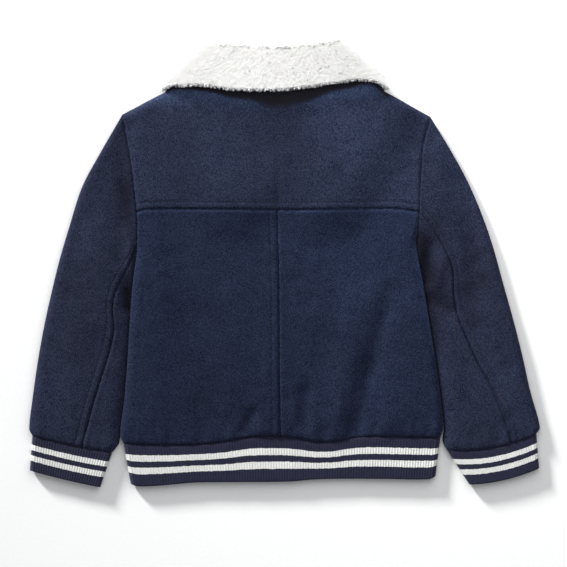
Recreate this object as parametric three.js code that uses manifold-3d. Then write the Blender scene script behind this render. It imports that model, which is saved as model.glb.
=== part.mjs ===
// A child's wool bomber jacket with a sherpa collar and striped ribs, laid flat on its front.
// Millimetres. +Z is up out of the jacket's back, +Y runs towards the collar, and z = 0 is the
// surface that it lies on. Left and right are the wearer's, so the left is on the -X side.
//
// Every piece is a closed wall of cloth: a grid of outer points over the piece's plan, and inner
// points one thickness inside them. An upper layer (the back) and a lower layer (the front) turn
// into each other at folded edges, where a rounded profile carries the wall to mid height.
import * as THREE from 'three';
import { mergeVertices } from 'three/addons/utils/BufferGeometryUtils.js';
import Module from 'manifold-3d';

// ---------------------------------------------------------------- sizes
const SEAM_GAP = 0.3;
const OVERLAP_GAP = 0.5; // between the two fronts where they close
const ARMHOLE_GAP = 0.5;
const RIB_SEAM_GAP = 0.6;
const CLOTH = 3.2; // wool shell with its lining
const RIB_CLOTH = 2.5; // doubled rib knit
const LAID_HEIGHT = 10.2; // top of the back where nothing lies under the front
const RIB_HEIGHT = 8.8; // top of the ribs
const RIB_PITCH = 3;
const RIB_RELIEF = 0.45;
const FOLD_RADIUS = 9; // how far in from a folded edge its roundness reaches
const SHOULDER_RADIUS = 8;
const RIB_FOLD_RADIUS = 5;
const UNDERARM_REACH = 40; // length of armhole over which the layers close to the underarm
const NECK_REACH = 12; // the same along the neck seam, from the shoulder
const HEM_ROUND = 10; // length over which the wool drops to the ribs
const FRONT_OVERLAP = 12; // each front passes the centre line by this much
const CENTRE_X = -6; // centre front and centre back

// Collar: heights are measured from the middle plane between its back and its front half.
const COLLAR_MIDDLE = 13.1;
const COLLAR_LIFT = 8; // how far the collar's front half lifts what lies on it
const STAND_LENGTH = 34;
const COLLAR_FLARE = 2.5; // the fall's edge stands off the shoulders by this much
const NECKLINE_BOW = 9; // scoop of the front neckline

// Press studs
const SNAP_RADIUS = 7.5;
const SNAP_THICKNESS = 0.9;
const SNAP_RECESS = 1.25;
const SNAP_FIRST_Y = 72;
const SNAP_SPACING = 60;
const WOOL_SNAPS = 5;
const RIB_SNAP_Y = -214;

// The body's edges at a height y: armhole seams down to the underarm, side folds below it.
const BODY_SECTIONS = [
  { y: 165, left: -178.4, right: 161.2 },
  { y: 138, left: -173.5, right: 153.5 },
  { y: 112, left: -169.0, right: 150.3 },
  { y: 86, left: -165.6, right: 149.2 },
  { y: 60, left: -162.9, right: 148.2 },
  { y: 40, left: -162.4, right: 147.2 },
  { y: 26, left: -162.5, right: 144.6 },
  { y: 8, left: -163.4, right: 146.8 },
  { y: -20, left: -166.9, right: 152.0 },
  { y: -65, left: -170.2, right: 159.3 },
  { y: -110, left: -173.0, right: 166.6 },
  { y: -150, left: -176.3, right: 172.0 },
  { y: -180, left: -180.2, right: 174.2 },
  { y: -190, left: -179.6, right: 171.5 },
  { y: -198, left: -176.4, right: 169.3 },
];

// Seam between the wool and the hem rib; it waves where the wool blouses over the rib.
const HEM_SEAM = [
  { x: -177, y: -197.0 },
  { x: -148, y: -198.3 },
  { x: -116, y: -198.6 },
  { x: -85, y: -197.2 },
  { x: -62, y: -194.4 },
  { x: -40, y: -190.2 },
  { x: -5, y: -189.4 },
  { x: 14, y: -191.4 },
  { x: 33, y: -195.1 },
  { x: 52, y: -195.1 },
  { x: 71, y: -191.3 },
  { x: 90, y: -189.2 },
  { x: 130, y: -189.8 },
  { x: 170, y: -190.9 },
];

const HEM_BOTTOM = [
  { x: -169, y: -241.5 },
  { x: -160, y: -244.0 },
  { x: -135, y: -243.0 },
  { x: -100, y: -239.9 },
  { x: -60, y: -239.3 },
  { x: 5, y: -238.7 },
  { x: 30, y: -236.6 },
  { x: 60, y: -235.6 },
  { x: 110, y: -235.8 },
  { x: 158, y: -236.2 },
  { x: 166, y: -233.0 },
];

const YOKE_SEAM = [
  { x: -163, y: 58.8 },
  { x: -150, y: 61.8 },
  { x: -60, y: 61.5 },
  { x: 20, y: 61.0 },
  { x: 120, y: 62.4 },
  { x: 148, y: 58.8 },
];

const CENTRE_BACK = [
  { y: 62, x: -8.6 },
  { y: -16, x: -6.3 },
  { y: -125, x: -5.6 },
  { y: -200, x: -4.4 },
];

// Sleeve sections from the armhole (at = 0) to the cuff (at = 1): outer fold, back seam, and inner
// fold, which lies at a gap from the body's side.
const SLEEVE_SECTIONS = {
  left: [
    { at: 0, outerX: -178.4, outerY: 164.5, seamX: -162.5, seamY: 22, innerY: 13, gap: 0.5 },
    { at: 0.1, outerX: -203.5, outerY: 121, seamX: -171, seamY: 0, innerY: -5, gap: 0.8 },
    { at: 0.2, outerX: -222.5, outerY: 85, seamX: -180.6, seamY: -18, innerY: -24, gap: 0.8 },
    { at: 0.31, outerX: -236.3, outerY: 42, seamX: -187.6, seamY: -36, innerY: -43, gap: 0.8 },
    { at: 0.42, outerX: -247.2, outerY: 5, seamX: -188.8, seamY: -52, innerY: -61, gap: 0.8 },
    { at: 0.53, outerX: -256, outerY: -31, seamX: -187.4, seamY: -70, innerY: -81, gap: 0.8 },
    { at: 0.64, outerX: -264, outerY: -67, seamX: -191.3, seamY: -92, innerY: -104, gap: 0.8 },
    { at: 0.75, outerX: -271, outerY: -106, seamX: -199.8, seamY: -120, innerY: -130, gap: 0.8 },
    { at: 0.86, outerX: -276.6, outerY: -145, seamX: -209.7, seamY: -151, innerY: -159, gap: 0.8 },
    { at: 0.96, outerX: -280.5, outerY: -180, seamX: -219.3, seamY: -187, innerY: -190, gap: 3.5 },
    { at: 1, outerX: -277.2, outerY: -188, seamX: -222.4, seamY: -200, innerY: -207, gap: 14 },
  ],
  right: [
    { at: 0, outerX: 160.8, outerY: 162, seamX: 148.2, seamY: 57, innerY: 26, gap: 0.5 },
    { at: 0.1, outerX: 182, outerY: 127, seamX: 160.8, seamY: 42, innerY: 9, gap: 0.8 },
    { at: 0.2, outerX: 201, outerY: 92, seamX: 175.5, seamY: 17, innerY: -10, gap: 0.8 },
    { at: 0.31, outerX: 216.4, outerY: 56, seamX: 184.6, seamY: -6, innerY: -30, gap: 0.8 },
    { at: 0.42, outerX: 229.2, outerY: 19, seamX: 185.6, seamY: -30, innerY: -50, gap: 0.8 },
    { at: 0.53, outerX: 240, outerY: -20, seamX: 189.3, seamY: -54, innerY: -73, gap: 0.8 },
    { at: 0.64, outerX: 250.4, outerY: -57, seamX: 198.5, seamY: -78, innerY: -97, gap: 0.8 },
    { at: 0.75, outerX: 260.6, outerY: -97, seamX: 213.5, seamY: -111, innerY: -125, gap: 0.8 },
    { at: 0.86, outerX: 270, outerY: -139, seamX: 230.5, seamY: -139.5, innerY: -156, gap: 0.8 },
    { at: 0.96, outerX: 280.5, outerY: -178, seamX: 246, seamY: -178, innerY: -190, gap: 6 },
    { at: 1, outerX: 276.8, outerY: -186, seamX: 248.6, seamY: -191.2, innerY: -204, gap: 10 },
  ],
};

// The free edge of each cuff, from its outer to its inner fold, and how far the edge and the seam
// sag between their ends.
const CUFFS = {
  left: { outerX: -280, outerY: -226.5, innerX: -202.5, innerY: -245, sag: 1, seamSag: 1.5 },
  right: { outerX: 280, outerY: -224, innerX: 203, innerY: -242, sag: 4, seamSag: 7 },
};

// The collar at each shoulder: outer ends of its roll line and of its fall's edge, how far that edge
// hangs past the back's, and the point of its front half.
const COLLAR_SIDES = {
  left: { rollX: -80.3, rollY: 242.4, edgeX: -134, edgeY: 193.2, hang: 18, tipX: -54, tipY: 82 },
  right: { rollX: 64, rollY: 245.5, edgeX: 113, edgeY: 194, hang: 24, tipX: 42, tipY: 82 },
};

// Roll line and lower edge of the collar across the back.
const COLLAR_BACK_ROLL = [
  { x: -72, y: 241.0 },
  { x: -55, y: 240.4 },
  { x: -20, y: 239.0 },
  { x: 8, y: 239.8 },
  { x: 36, y: 242.2 },
  { x: 56, y: 245.5 },
];
const COLLAR_BACK_EDGE = [
  { x: -112, y: 196.4 },
  { x: -92, y: 196.3 },
  { x: -74, y: 194.4 },
  { x: -58, y: 191.9 },
  { x: -20, y: 191.4 },
  { x: 4, y: 192.2 },
  { x: 38, y: 196.9 },
  { x: 70, y: 201.4 },
  { x: 88, y: 203.2 },
];
const NECK_POINT_Y = 131; // front neck seam at the centre
const ROLL_POINT_Y = 138; // roll line at the centre front
const NECK_POINT_X = 13; // both measured from the centre line
const ROLL_POINT_X = 3;
const COLLAR_LOWEST_Y = 191.4;

// Soft folds of the laid cloth: a ridge (or a trough, if negative) along a line.
const FOLDS = [
  { x1: -122, y1: 50, x2: -104, y2: -60, width: 22, height: -1.8 },
  { x1: -104, y1: -60, x2: -80, y2: -165, width: 18, height: -1.6 },
  { x1: -150, y1: 20, x2: -150, y2: -160, width: 24, height: 1.5 },
  { x1: -45, y1: 30, x2: -50, y2: -120, width: 34, height: 1.6 },
  { x1: -34, y1: -163, x2: -44, y2: -182, width: 6, height: -2.2 },
  { x1: 24, y1: -140, x2: 20, y2: -176, width: 8, height: -2.4 },
  { x1: 118, y1: -28, x2: 92, y2: -120, width: 10, height: -2.0 },
  { x1: 94, y1: -110, x2: 80, y2: -182, width: 11, height: -2.6 },
  { x1: 86, y1: -40, x2: 56, y2: -165, width: 20, height: 2.8 },
  { x1: 138, y1: -60, x2: 122, y2: -165, width: 22, height: 2.0 },
  { x1: 20, y1: 30, x2: 34, y2: -60, width: 26, height: 1.8 },
  { x1: 14, y1: -18, x2: 26, y2: -40, width: 9, height: -1.2 },
  { x1: -110, y1: 150, x2: -70, y2: 90, width: 20, height: 1.2 },
  { x1: 60, y1: 150, x2: 100, y2: 95, width: 22, height: 1.4 },
  { x1: -175, y1: 150, x2: -178, y2: 50, width: 10, height: -2.2 },
  { x1: -178, y1: 40, x2: -178, y2: 5, width: 8, height: -1.8 },
  { x1: -199, y1: 40, x2: -200, y2: -60, width: 16, height: 2.4 },
  { x1: -222, y1: 0, x2: -240, y2: -150, width: 26, height: 2.0 },
  { x1: -174, y1: -22, x2: -172, y2: -48, width: 8, height: -2.6 },
  { x1: 162, y1: 20, x2: 156, y2: -16, width: 9, height: -2.8 },
  { x1: 172, y1: 130, x2: 165, y2: 60, width: 14, height: 1.8 },
  { x1: 196, y1: 88, x2: 204, y2: 40, width: 14, height: -2.0 },
  { x1: 204, y1: 40, x2: 208, y2: -32, width: 14, height: -2.4 },
  { x1: 174, y1: 5, x2: 166, y2: -20, width: 8, height: 1.8 },
  { x1: 158, y1: -38, x2: 184, y2: -50, width: 8, height: -2.2 },
  { x1: 222, y1: -60, x2: 250, y2: -150, width: 24, height: 2.2 },
  { x1: 186, y1: -90, x2: 206, y2: -170, width: 18, height: 1.2 },
];
const PLACKET_RIDGE = { x1: CENTRE_X, y1: 90, x2: CENTRE_X, y2: -190, width: 26, height: 1.6 };
const FOLD_FADE = 28; // length below the collar over which the folds grow to full height
const DEEPEST_TROUGH = -3;
const HIGHEST_RIDGE = 6;

// ---------------------------------------------------------------- small helpers
const { clamp, lerp, smoothstep } = THREE.MathUtils;
const vec2 = (x, y) => new THREE.Vector2(x, y);
const mix = (p, q, t) => p.clone().lerp(q, t);
const SIDES = { left: -1, right: 1 };

// A smooth curve through a table's rows: value as a function of key.
function curve(rows, key, value) {
  const knots = [...rows].sort((p, q) => p[key] - q[key]);
  const last = knots.length - 1;
  const slope = (i) => {
    const before = knots[Math.max(i - 1, 0)];
    const after = knots[Math.min(i + 1, last)];
    return (after[value] - before[value]) / (after[key] - before[key]);
  };
  return (position) => {
    const at = clamp(position, knots[0][key], knots[last][key]);
    let i = 0;
    while (i < last - 1 && knots[i + 1][key] < at) i += 1;
    const span = knots[i + 1][key] - knots[i][key];
    const t = (at - knots[i][key]) / span;
    const a = 2 * t ** 3 - 3 * t ** 2 + 1;
    const b = t ** 3 - 2 * t ** 2 + t;
    const c = 3 * t ** 2 - 2 * t ** 3;
    const d = t ** 3 - t ** 2;
    return a * knots[i][value] + b * span * slope(i) + c * knots[i + 1][value] + d * span * slope(i + 1);
  };
}

const bodyEdgeX = { left: curve(BODY_SECTIONS, 'y', 'left'), right: curve(BODY_SECTIONS, 'y', 'right') };
const bodyEdge = (side, y) => vec2(bodyEdgeX[side](y), y);
const hemSeamY = curve(HEM_SEAM, 'x', 'y');
const hemBottomY = curve(HEM_BOTTOM, 'x', 'y');
const yokeSeamY = curve(YOKE_SEAM, 'x', 'y');
const centreBackX = curve(CENTRE_BACK, 'y', 'x');

const FOLD_STEPS = 3; // rows of points round each folded edge

// Distances along a run of cloth. Near a folded end they crowd together to follow the roundness.
function stations(length, count, foldAtStart, foldAtEnd, radius = FOLD_RADIUS) {
  const reach = Math.min(radius, 0.4 * length);
  const ends = (foldAtStart ? FOLD_STEPS : 0) + (foldAtEnd ? FOLD_STEPS : 0);
  const from = foldAtStart ? reach : 0;
  const to = foldAtEnd ? length - reach : length;
  const roundness = (i) => reach * (1 - Math.cos((i / FOLD_STEPS) * Math.PI / 2));
  const distances = [];
  if (foldAtStart) for (let i = 0; i < FOLD_STEPS; i += 1) distances.push(roundness(i));
  for (let i = 0; i <= count - ends; i += 1) distances.push(lerp(from, to, i / (count - ends)));
  if (foldAtEnd) for (let i = FOLD_STEPS - 1; i >= 0; i -= 1) distances.push(length - roundness(i));
  return distances;
}

// Points along a chain of corners, each stretch cut into its own number of equal steps.
function chain(corners, steps) {
  const points = [corners[0].clone()];
  steps.forEach((count, i) => {
    for (let k = 1; k <= count; k += 1) points.push(mix(corners[i], corners[i + 1], k / count));
  });
  return points;
}

// A plan grid between four edges. Rows run from the top edge to the bottom edge.
function planGrid(top, bottom, left, right) {
  const rows = left.length - 1;
  const columns = top.length - 1;
  return left.map((leftPoint, r) => top.map((topPoint, c) => {
    const u = c / columns;
    const down = left[0].distanceTo(leftPoint) / left[0].distanceTo(left[rows]);
    const downRight = right[0].distanceTo(right[r]) / right[0].distanceTo(right[rows]);
    const v = lerp(down, downRight, u);
    const across = top[0].distanceTo(topPoint) / top[0].distanceTo(top[columns]);
    const acrossBottom = bottom[0].distanceTo(bottom[c]) / bottom[0].distanceTo(bottom[columns]);
    const w = lerp(across, acrossBottom, v);
    const corners = mix(mix(top[0], top[columns], w), mix(bottom[0], bottom[columns], w), v);
    const vertical = mix(topPoint, bottom[c], v);
    const horizontal = mix(leftPoint, right[r], w);
    return vertical.add(horizontal).sub(corners);
  }));
}

function distanceToLine(x, y, line) {
  const dx = line.x2 - line.x1;
  const dy = line.y2 - line.y1;
  const t = clamp(((x - line.x1) * dx + (y - line.y1) * dy) / (dx * dx + dy * dy), 0, 1);
  return Math.hypot(x - line.x1 - t * dx, y - line.y1 - t * dy);
}

// ---------------------------------------------------------------- collar plan
// The line about which the collar turns from back to front at one shoulder, and its outward normal.
function collarHinge(side) {
  const corner = COLLAR_SIDES[side];
  const roll = vec2(corner.rollX, corner.rollY);
  const edge = vec2(corner.edgeX, corner.edgeY);
  const along = edge.clone().sub(roll).normalize();
  const outward = vec2(SIDES[side] * -along.y, Math.abs(along.x));
  roll.addScaledVector(outward, -COLLAR_MIDDLE);
  edge.addScaledVector(outward, -COLLAR_MIDDLE);
  return { roll, edge, neck: roll.clone().addScaledVector(along, STAND_LENGTH), along, outward };
}
const HINGES = { left: collarHinge('left'), right: collarHinge('right') };

// The outline of the collar's front half, which lies under the fronts and lifts them.
const COLLAR_PATCH = [
  vec2(COLLAR_SIDES.left.edgeX, COLLAR_SIDES.left.edgeY),
  vec2(COLLAR_SIDES.left.tipX, COLLAR_SIDES.left.tipY),
  vec2(CENTRE_X, NECK_POINT_Y),
  vec2(COLLAR_SIDES.right.tipX, COLLAR_SIDES.right.tipY),
  vec2(COLLAR_SIDES.right.edgeX, COLLAR_SIDES.right.edgeY),
  vec2(COLLAR_SIDES.right.rollX, COLLAR_SIDES.right.rollY),
  vec2(COLLAR_SIDES.left.rollX, COLLAR_SIDES.left.rollY),
];

function outsideCollar(x, y) {
  let inside = false;
  let nearest = Infinity;
  COLLAR_PATCH.forEach((p, i) => {
    const q = COLLAR_PATCH[(i + 1) % COLLAR_PATCH.length];
    if (p.y > y !== q.y > y && x < p.x + ((y - p.y) * (q.x - p.x)) / (q.y - p.y)) inside = !inside;
    nearest = Math.min(nearest, distanceToLine(x, y, { x1: p.x, y1: p.y, x2: q.x, y2: q.y }));
  });
  return inside ? 0 : nearest;
}

// ---------------------------------------------------------------- heights of the laid cloth
const FRONT_RAMP = 30;
const BACK_RAMP = 55;
const COLLAR_MARGIN = 12; // the lift stays full this far outside the collar

function collarLift(x, y, ramp) {
  const distance = outsideCollar(x, y) - COLLAR_MARGIN;
  return COLLAR_LIFT * (1 - smoothstep(distance, 0, ramp));
}

function foldHeight(x, y) {
  const ridges = [...FOLDS, PLACKET_RIDGE];
  const sum = ridges.reduce((height, fold) => {
    const reach = distanceToLine(x, y, fold) / fold.width;
    return height + fold.height * Math.exp(-reach * reach);
  }, 0);
  return clamp(sum, DEEPEST_TROUGH, HIGHEST_RIDGE) * smoothstep(COLLAR_LOWEST_Y - y, 0, FOLD_FADE);
}

const frontHeight = (x, y) => collarLift(x, y, FRONT_RAMP);
const backBase = (x, y) => LAID_HEIGHT + collarLift(x, y, BACK_RAMP);
const middleHeight = (x, y) => (frontHeight(x, y) + backBase(x, y)) / 2;

// How far round its fold a point has turned: 0 at the folded edge, a quarter turn on the flat.
const turn = (share) => Math.acos(1 - clamp(share, 0, 1));

// Outer and inner point of the wall at a plan point. layer is +1 for the back, -1 for the front;
// inward is the plan direction away from the fold.
function wallPoint(plan, layer, angle, inward, { thickness, outer, middle }) {
  const mid = middle ?? middleHeight(plan.x, plan.y);
  const z = lerp(mid, outer, Math.sin(angle));
  const flat = thickness * Math.cos(angle);
  return {
    outer: new THREE.Vector3(plan.x, plan.y, z),
    inner: new THREE.Vector3(
      plan.x + inward.x * flat,
      plan.y + inward.y * flat,
      z - layer * thickness * Math.sin(angle),
    ),
  };
}

// From 0 at a rib's seam to 1 where the wool is clear of it.
const clearOfRib = (toRib) => Math.sin(turn(toRib / HEM_ROUND));
const clothThickness = (toRib) => lerp(RIB_CLOTH, CLOTH, clearOfRib(toRib));

function backHeight(x, y, toRib) {
  return lerp(RIB_HEIGHT, backBase(x, y) + foldHeight(x, y), clearOfRib(toRib));
}

// ---------------------------------------------------------------- closed walls from grids
// Moves each edge of a grid half a seam gap back from its neighbour.
function drawBack(grid, gap = SEAM_GAP) {
  const lastRow = grid.length - 1;
  const step = (p, q) => q.clone().sub(p).setLength(gap / 2);
  const moves = grid.map((row, r) => row.map((p, c) => {
    const move = new THREE.Vector3();
    if (r === 0) move.add(step(p, grid[1][c]));
    if (r === lastRow) move.add(step(p, grid[lastRow - 1][c]));
    if (c === 0) move.add(step(p, row[1]));
    if (c === row.length - 1) move.add(step(p, row[c - 1]));
    return move;
  }));
  grid.forEach((row, r) => row.forEach((p, c) => p.add(moves[r][c])));
  return grid;
}

// Triangles between two neighbouring lines of points, which may have different numbers of them.
// Lines of the same number are joined point to point, on the other diagonal if crossed.
function strip(faces, points, a, b, crossed = false) {
  if (a.length === b.length) {
    for (let i = 0; i < a.length - 1; i += 1) {
      const [p, q] = crossed ? [b[i + 1], a[i]] : [b[i], a[i + 1]];
      faces.push(a[i + 1], a[i], p);
      faces.push(q, b[i], b[i + 1]);
    }
    return;
  }
  const shares = (line) => {
    const reach = [0];
    line.slice(1).forEach((index, i) => reach.push(reach[i] + points[index].distanceTo(points[line[i]])));
    return reach.map((distance) => distance / reach.at(-1));
  };
  const shareA = shares(a);
  const shareB = shares(b);
  let i = 0;
  let j = 0;
  while (i < a.length - 1 || j < b.length - 1) {
    if (j === b.length - 1 || (i < a.length - 1 && shareA[i + 1] <= shareB[j + 1])) {
      faces.push(a[i + 1], a[i], b[j]);
      i += 1;
    } else {
      faces.push(a[i], b[j], b[j + 1]);
      j += 1;
    }
  }
}

function solidMesh(points, faces) {
  let volume = 0;
  for (let i = 0; i < faces.length; i += 3) {
    const [a, b, c] = [points[faces[i]], points[faces[i + 1]], points[faces[i + 2]]];
    volume += a.dot(b.clone().cross(c));
  }
  const ordered = volume < 0 ? [...faces].reverse() : faces;
  const geometry = new THREE.BufferGeometry();
  geometry.setAttribute('position', new THREE.Float32BufferAttribute(points.flatMap((p) => [...p]), 3));
  geometry.setIndex(ordered);
  return geometry;
}

// One closed wall from a grid of outer points and a grid of inner points with as many rows.
function wallGeometry(outer, inner) {
  const points = [];
  const number = (grid) => grid.map((row) => row.map((p) => points.push(p) - 1));
  const out = number(outer);
  const inn = number(inner);
  const faces = [];
  const column = (grid, pick) => grid.map((row) => row.at(pick));
  for (let r = 0; r < out.length - 1; r += 1) {
    strip(faces, points, out[r], out[r + 1]);
    strip(faces, points, inn[r + 1], inn[r]);
  }
  strip(faces, points, inn[0], out[0]);
  strip(faces, points, out.at(-1), inn.at(-1));
  strip(faces, points, column(out, 0), column(inn, 0), true);
  strip(faces, points, column(inn, -1), column(out, -1));
  return solidMesh(points, faces);
}

const MATERIALS = {
  wool: new THREE.MeshStandardMaterial({ color: 0x232b42, roughness: 0.95, metalness: 0 }),
  rib: new THREE.MeshStandardMaterial({ color: 0x2a2b42, roughness: 0.9, metalness: 0 }),
  sherpa: new THREE.MeshStandardMaterial({ color: 0xece8df, roughness: 1, metalness: 0 }),
  underCollar: new THREE.MeshStandardMaterial({ color: 0x1a2036, roughness: 0.95, metalness: 0 }),
  metal: new THREE.MeshStandardMaterial({ color: 0x9a9ca2, roughness: 0.35, metalness: 1 }),
};

const jacket = new THREE.Group();

function addPiece(name, geometry, material) {
  const mesh = new THREE.Mesh(geometry, material.clone());
  mesh.name = name;
  jacket.add(mesh);
  return mesh;
}

function addWall(name, grid, material) {
  const outer = drawBack(grid.map((row) => row.map((point) => point.outer)));
  const inner = drawBack(grid.map((row) => row.map((point) => point.inner)));
  addPiece(name, wallGeometry(outer, inner), material);
}

// ---------------------------------------------------------------- body panels
const SHOULDER = { left: bodyEdge('left', 164.5), right: bodyEdge('right', 162) };
const UNDERARM_Y = { left: 13, right: 26 };
const HEM_CORNER = { left: bodyEdge('left', -197), right: bodyEdge('right', -190.8) };
const SHOULDER_INSIDE_COLLAR = { edge: 7.2, neck: 5 }; // reach of the shoulder past the collar's hinge
const SHOULDER_STEPS = 6; // grid steps along a shoulder, across a half back, and so on
const BACK_NECK_STEPS = 10;
const YOKE_ROWS = 11;
const HALF_BACK_COLUMNS = 13;
const BODY_ROWS = 17;
const SHOULDER_PLAN = {}; // by side: where the shoulder passes the collar's edge and the neck seam
Object.entries(HINGES).forEach(([side, { edge, neck, outward }]) => {
  SHOULDER_PLAN[side] = {
    collar: edge.clone().addScaledVector(outward, SHOULDER_INSIDE_COLLAR.edge),
    neck: neck.clone().addScaledVector(outward, SHOULDER_INSIDE_COLLAR.neck),
    hinge: neck,
  };
});

// The shoulder from its outer end to the neck seam, the same points for the back and the front.
function shoulderLine(side) {
  const { collar, neck, hinge } = SHOULDER_PLAN[side];
  const start = SHOULDER[side];
  const length = start.distanceTo(collar);
  const outer = stations(length, SHOULDER_STEPS, true, false).map((d) => mix(start, collar, d / length));
  return [...outer, ...chain([collar, neck], [2]).slice(1), hinge.clone()];
}

// Angle round the fold at a body point: side folds below the underarm, shoulders, and their ends.
function bodyTurn(side, plan, fromTop, neckDistance) {
  const edge = Math.abs(plan.x - bodyEdgeX[side](plan.y));
  const aboveUnderarm = Math.max(plan.y - UNDERARM_Y[side], 0);
  const sideShare = edge / FOLD_RADIUS + aboveUnderarm / UNDERARM_REACH;
  const topShare = fromTop / SHOULDER_RADIUS + neckDistance / NECK_REACH;
  return sideShare < topShare
    ? { angle: turn(sideShare), inward: vec2(-SIDES[side], 0) }
    : { angle: turn(topShare), inward: vec2(0, -1) };
}

// Distance along the neck seam from the shoulder, 0 anywhere on the shoulder itself.
function alongNeck(side, topPoint) {
  const { hinge, neck } = SHOULDER_PLAN[side];
  const onShoulder = (topPoint.x - neck.x) * SIDES[side] >= 0;
  const toHinge = SHOULDER_INSIDE_COLLAR.neck + topPoint.distanceTo(hinge);
  return onShoulder ? 0 : Math.min(topPoint.distanceTo(neck), toHinge);
}

// The wall over a plan grid. A panel that starts at the shoulder turns over there; lift is how many
// layers of the other front lie under the cloth at x.
function bodyWall(side, layer, grid, { fromShoulder = false, lift = () => 0 } = {}) {
  const topRow = grid[0];
  return grid.map((row) => row.map((plan, c) => {
    const nearest = side ?? (plan.x < CENTRE_X ? 'left' : 'right');
    const fromTop = fromShoulder ? plan.distanceTo(topRow[c]) : Infinity;
    const { angle, inward } = bodyTurn(nearest, plan, fromTop, alongNeck(nearest, topRow[c]));
    const toRib = Math.max(plan.y - hemSeamY(plan.x), 0);
    const thickness = clothThickness(toRib);
    const outer = layer > 0
      ? backHeight(plan.x, plan.y, toRib)
      : frontHeight(plan.x, plan.y) + lift(plan.x) * (thickness + OVERLAP_GAP);
    return wallPoint(plan, layer, angle, inward, { thickness, outer });
  }));
}

function backYoke() {
  const top = [
    ...shoulderLine('left'),
    ...chain([SHOULDER_PLAN.left.hinge, SHOULDER_PLAN.right.hinge], [BACK_NECK_STEPS]).slice(1, -1),
    ...shoulderLine('right').reverse(),
  ];
  const seamEnd = { left: bodyEdge('left', 58.8), right: bodyEdge('right', 58.8) };
  const width = seamEnd.right.x - seamEnd.left.x;
  const bottom = stations(width, top.length - 1, true, true)
    .map((d) => vec2(seamEnd.left.x + d, yokeSeamY(seamEnd.left.x + d)));
  const sideEdge = (side) => {
    const length = SHOULDER[side].y - seamEnd[side].y;
    return stations(length, YOKE_ROWS, true, false, SHOULDER_RADIUS)
      .map((d) => bodyEdge(side, SHOULDER[side].y - d));
  };
  const grid = planGrid(top, bottom, sideEdge('left'), sideEdge('right'));
  addWall('back_yoke', bodyWall(null, 1, grid, { fromShoulder: true }), MATERIALS.wool);
}

// A back panel runs from the side edge to the centre back seam, and from the yoke to the hem.
function backPanel(side) {
  const centreTop = vec2(centreBackX(61.2), 61.2);
  const centreHem = vec2(centreBackX(-189.4), -189.4);
  const sideTop = bodyEdge(side, 58.8);
  const seamPoints = (from, to, seamY) => {
    const width = to.x - from.x;
    return stations(Math.abs(width), HALF_BACK_COLUMNS, true, false)
      .map((d) => vec2(from.x + Math.sign(width) * d, seamY(from.x + Math.sign(width) * d)));
  };
  const top = seamPoints(sideTop, centreTop, yokeSeamY);
  const bottom = seamPoints(HEM_CORNER[side], centreHem, hemSeamY);
  const length = sideTop.y - HEM_CORNER[side].y;
  const rows = stations(length, BODY_ROWS, false, true, HEM_ROUND);
  const edge = rows.map((d) => bodyEdge(side, sideTop.y - d));
  const centreLength = centreTop.y - centreHem.y;
  const centre = rows.map((d) => {
    const y = centreTop.y - (d / length) * centreLength;
    return vec2(centreBackX(y), y);
  });
  const grid = planGrid(top, bottom, edge, centre);
  addWall(`back_${side}`, bodyWall(side, 1, grid), MATERIALS.wool);
  return grid.at(-1);
}

// A front runs from the side to its edge past the centre. The left front closes over the right,
// so it lies lowest here, and the right front is lifted where the left is under it.
const OVERLAP_CLEAR = 5;
const OVERLAP_RAMP = 16;
const pastOverlap = (x) => x - CENTRE_X - FRONT_OVERLAP - OVERLAP_CLEAR;
const overlapLift = (x) => 1 - smoothstep(pastOverlap(x), 0, OVERLAP_RAMP);

// The neck seam of one front, from the shoulder to its centre end.
const NECKLINE_STEPS = 7;
function frontNeckline(side) {
  const from = HINGES[side].neck;
  const to = vec2(CENTRE_X + SIDES[side] * NECK_POINT_X, NECK_POINT_Y);
  const scoop = vec2(SIDES[side] * (from.y - to.y), -Math.abs(from.x - to.x)).normalize();
  return chain([from, to], [NECKLINE_STEPS]).map((p, i) => {
    const bow = NECKLINE_BOW * Math.sin((Math.PI * i) / NECKLINE_STEPS);
    return p.addScaledVector(scoop, bow);
  });
}

function frontPanel(side) {
  const sign = SIDES[side];
  const neckline = frontNeckline(side);
  const corner = vec2(CENTRE_X - sign * FRONT_OVERLAP, NECK_POINT_Y - 2);
  const top = [
    ...shoulderLine(side),
    ...neckline.slice(1),
    ...chain([neckline.at(-1), corner], [2]).slice(1),
  ];
  const hemCorner = HEM_CORNER[side];
  const width = Math.abs(corner.x - hemCorner.x);
  const bottom = stations(width, top.length - 1, true, false)
    .map((d) => vec2(hemCorner.x - sign * d, hemSeamY(hemCorner.x - sign * d)));
  const length = SHOULDER[side].y - hemCorner.y;
  const rows = stations(length, BODY_ROWS, true, false, SHOULDER_RADIUS);
  const edge = rows.map((d) => bodyEdge(side, SHOULDER[side].y - d));
  const opening = rows.map((d) => mix(corner, bottom.at(-1), d / length));
  const grid = planGrid(top, bottom, edge, opening);
  const lift = side === 'right' ? overlapLift : undefined;
  return { wall: bodyWall(side, -1, grid, { fromShoulder: true, lift }), seam: grid.at(-1) };
}

// ---------------------------------------------------------------- sleeves
const FRONT_SEAM_SHARE = 0.78; // the hidden front seam's place from the outer to the inner fold
const ARMHOLE_SHARE = 0.3; // length of sleeve over which its rows lose the armhole's curve
const SLEEVE_LENGTH = 290;
const SLEEVE_ROWS = stations(1, 16, false, true, HEM_ROUND / SLEEVE_LENGTH);
const SLEEVE_STEPS = { topFront: 8, topBack: 11, underBack: 6, underFront: 5 };
const sag = (share, depth) => depth * 4 * share * (1 - share);
const SEAM_SAG_FROM = 0.7;
const SLEEVE_TURN_LENGTH = 0.15; // length of sleeve over which its inner fold tightens

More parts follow.
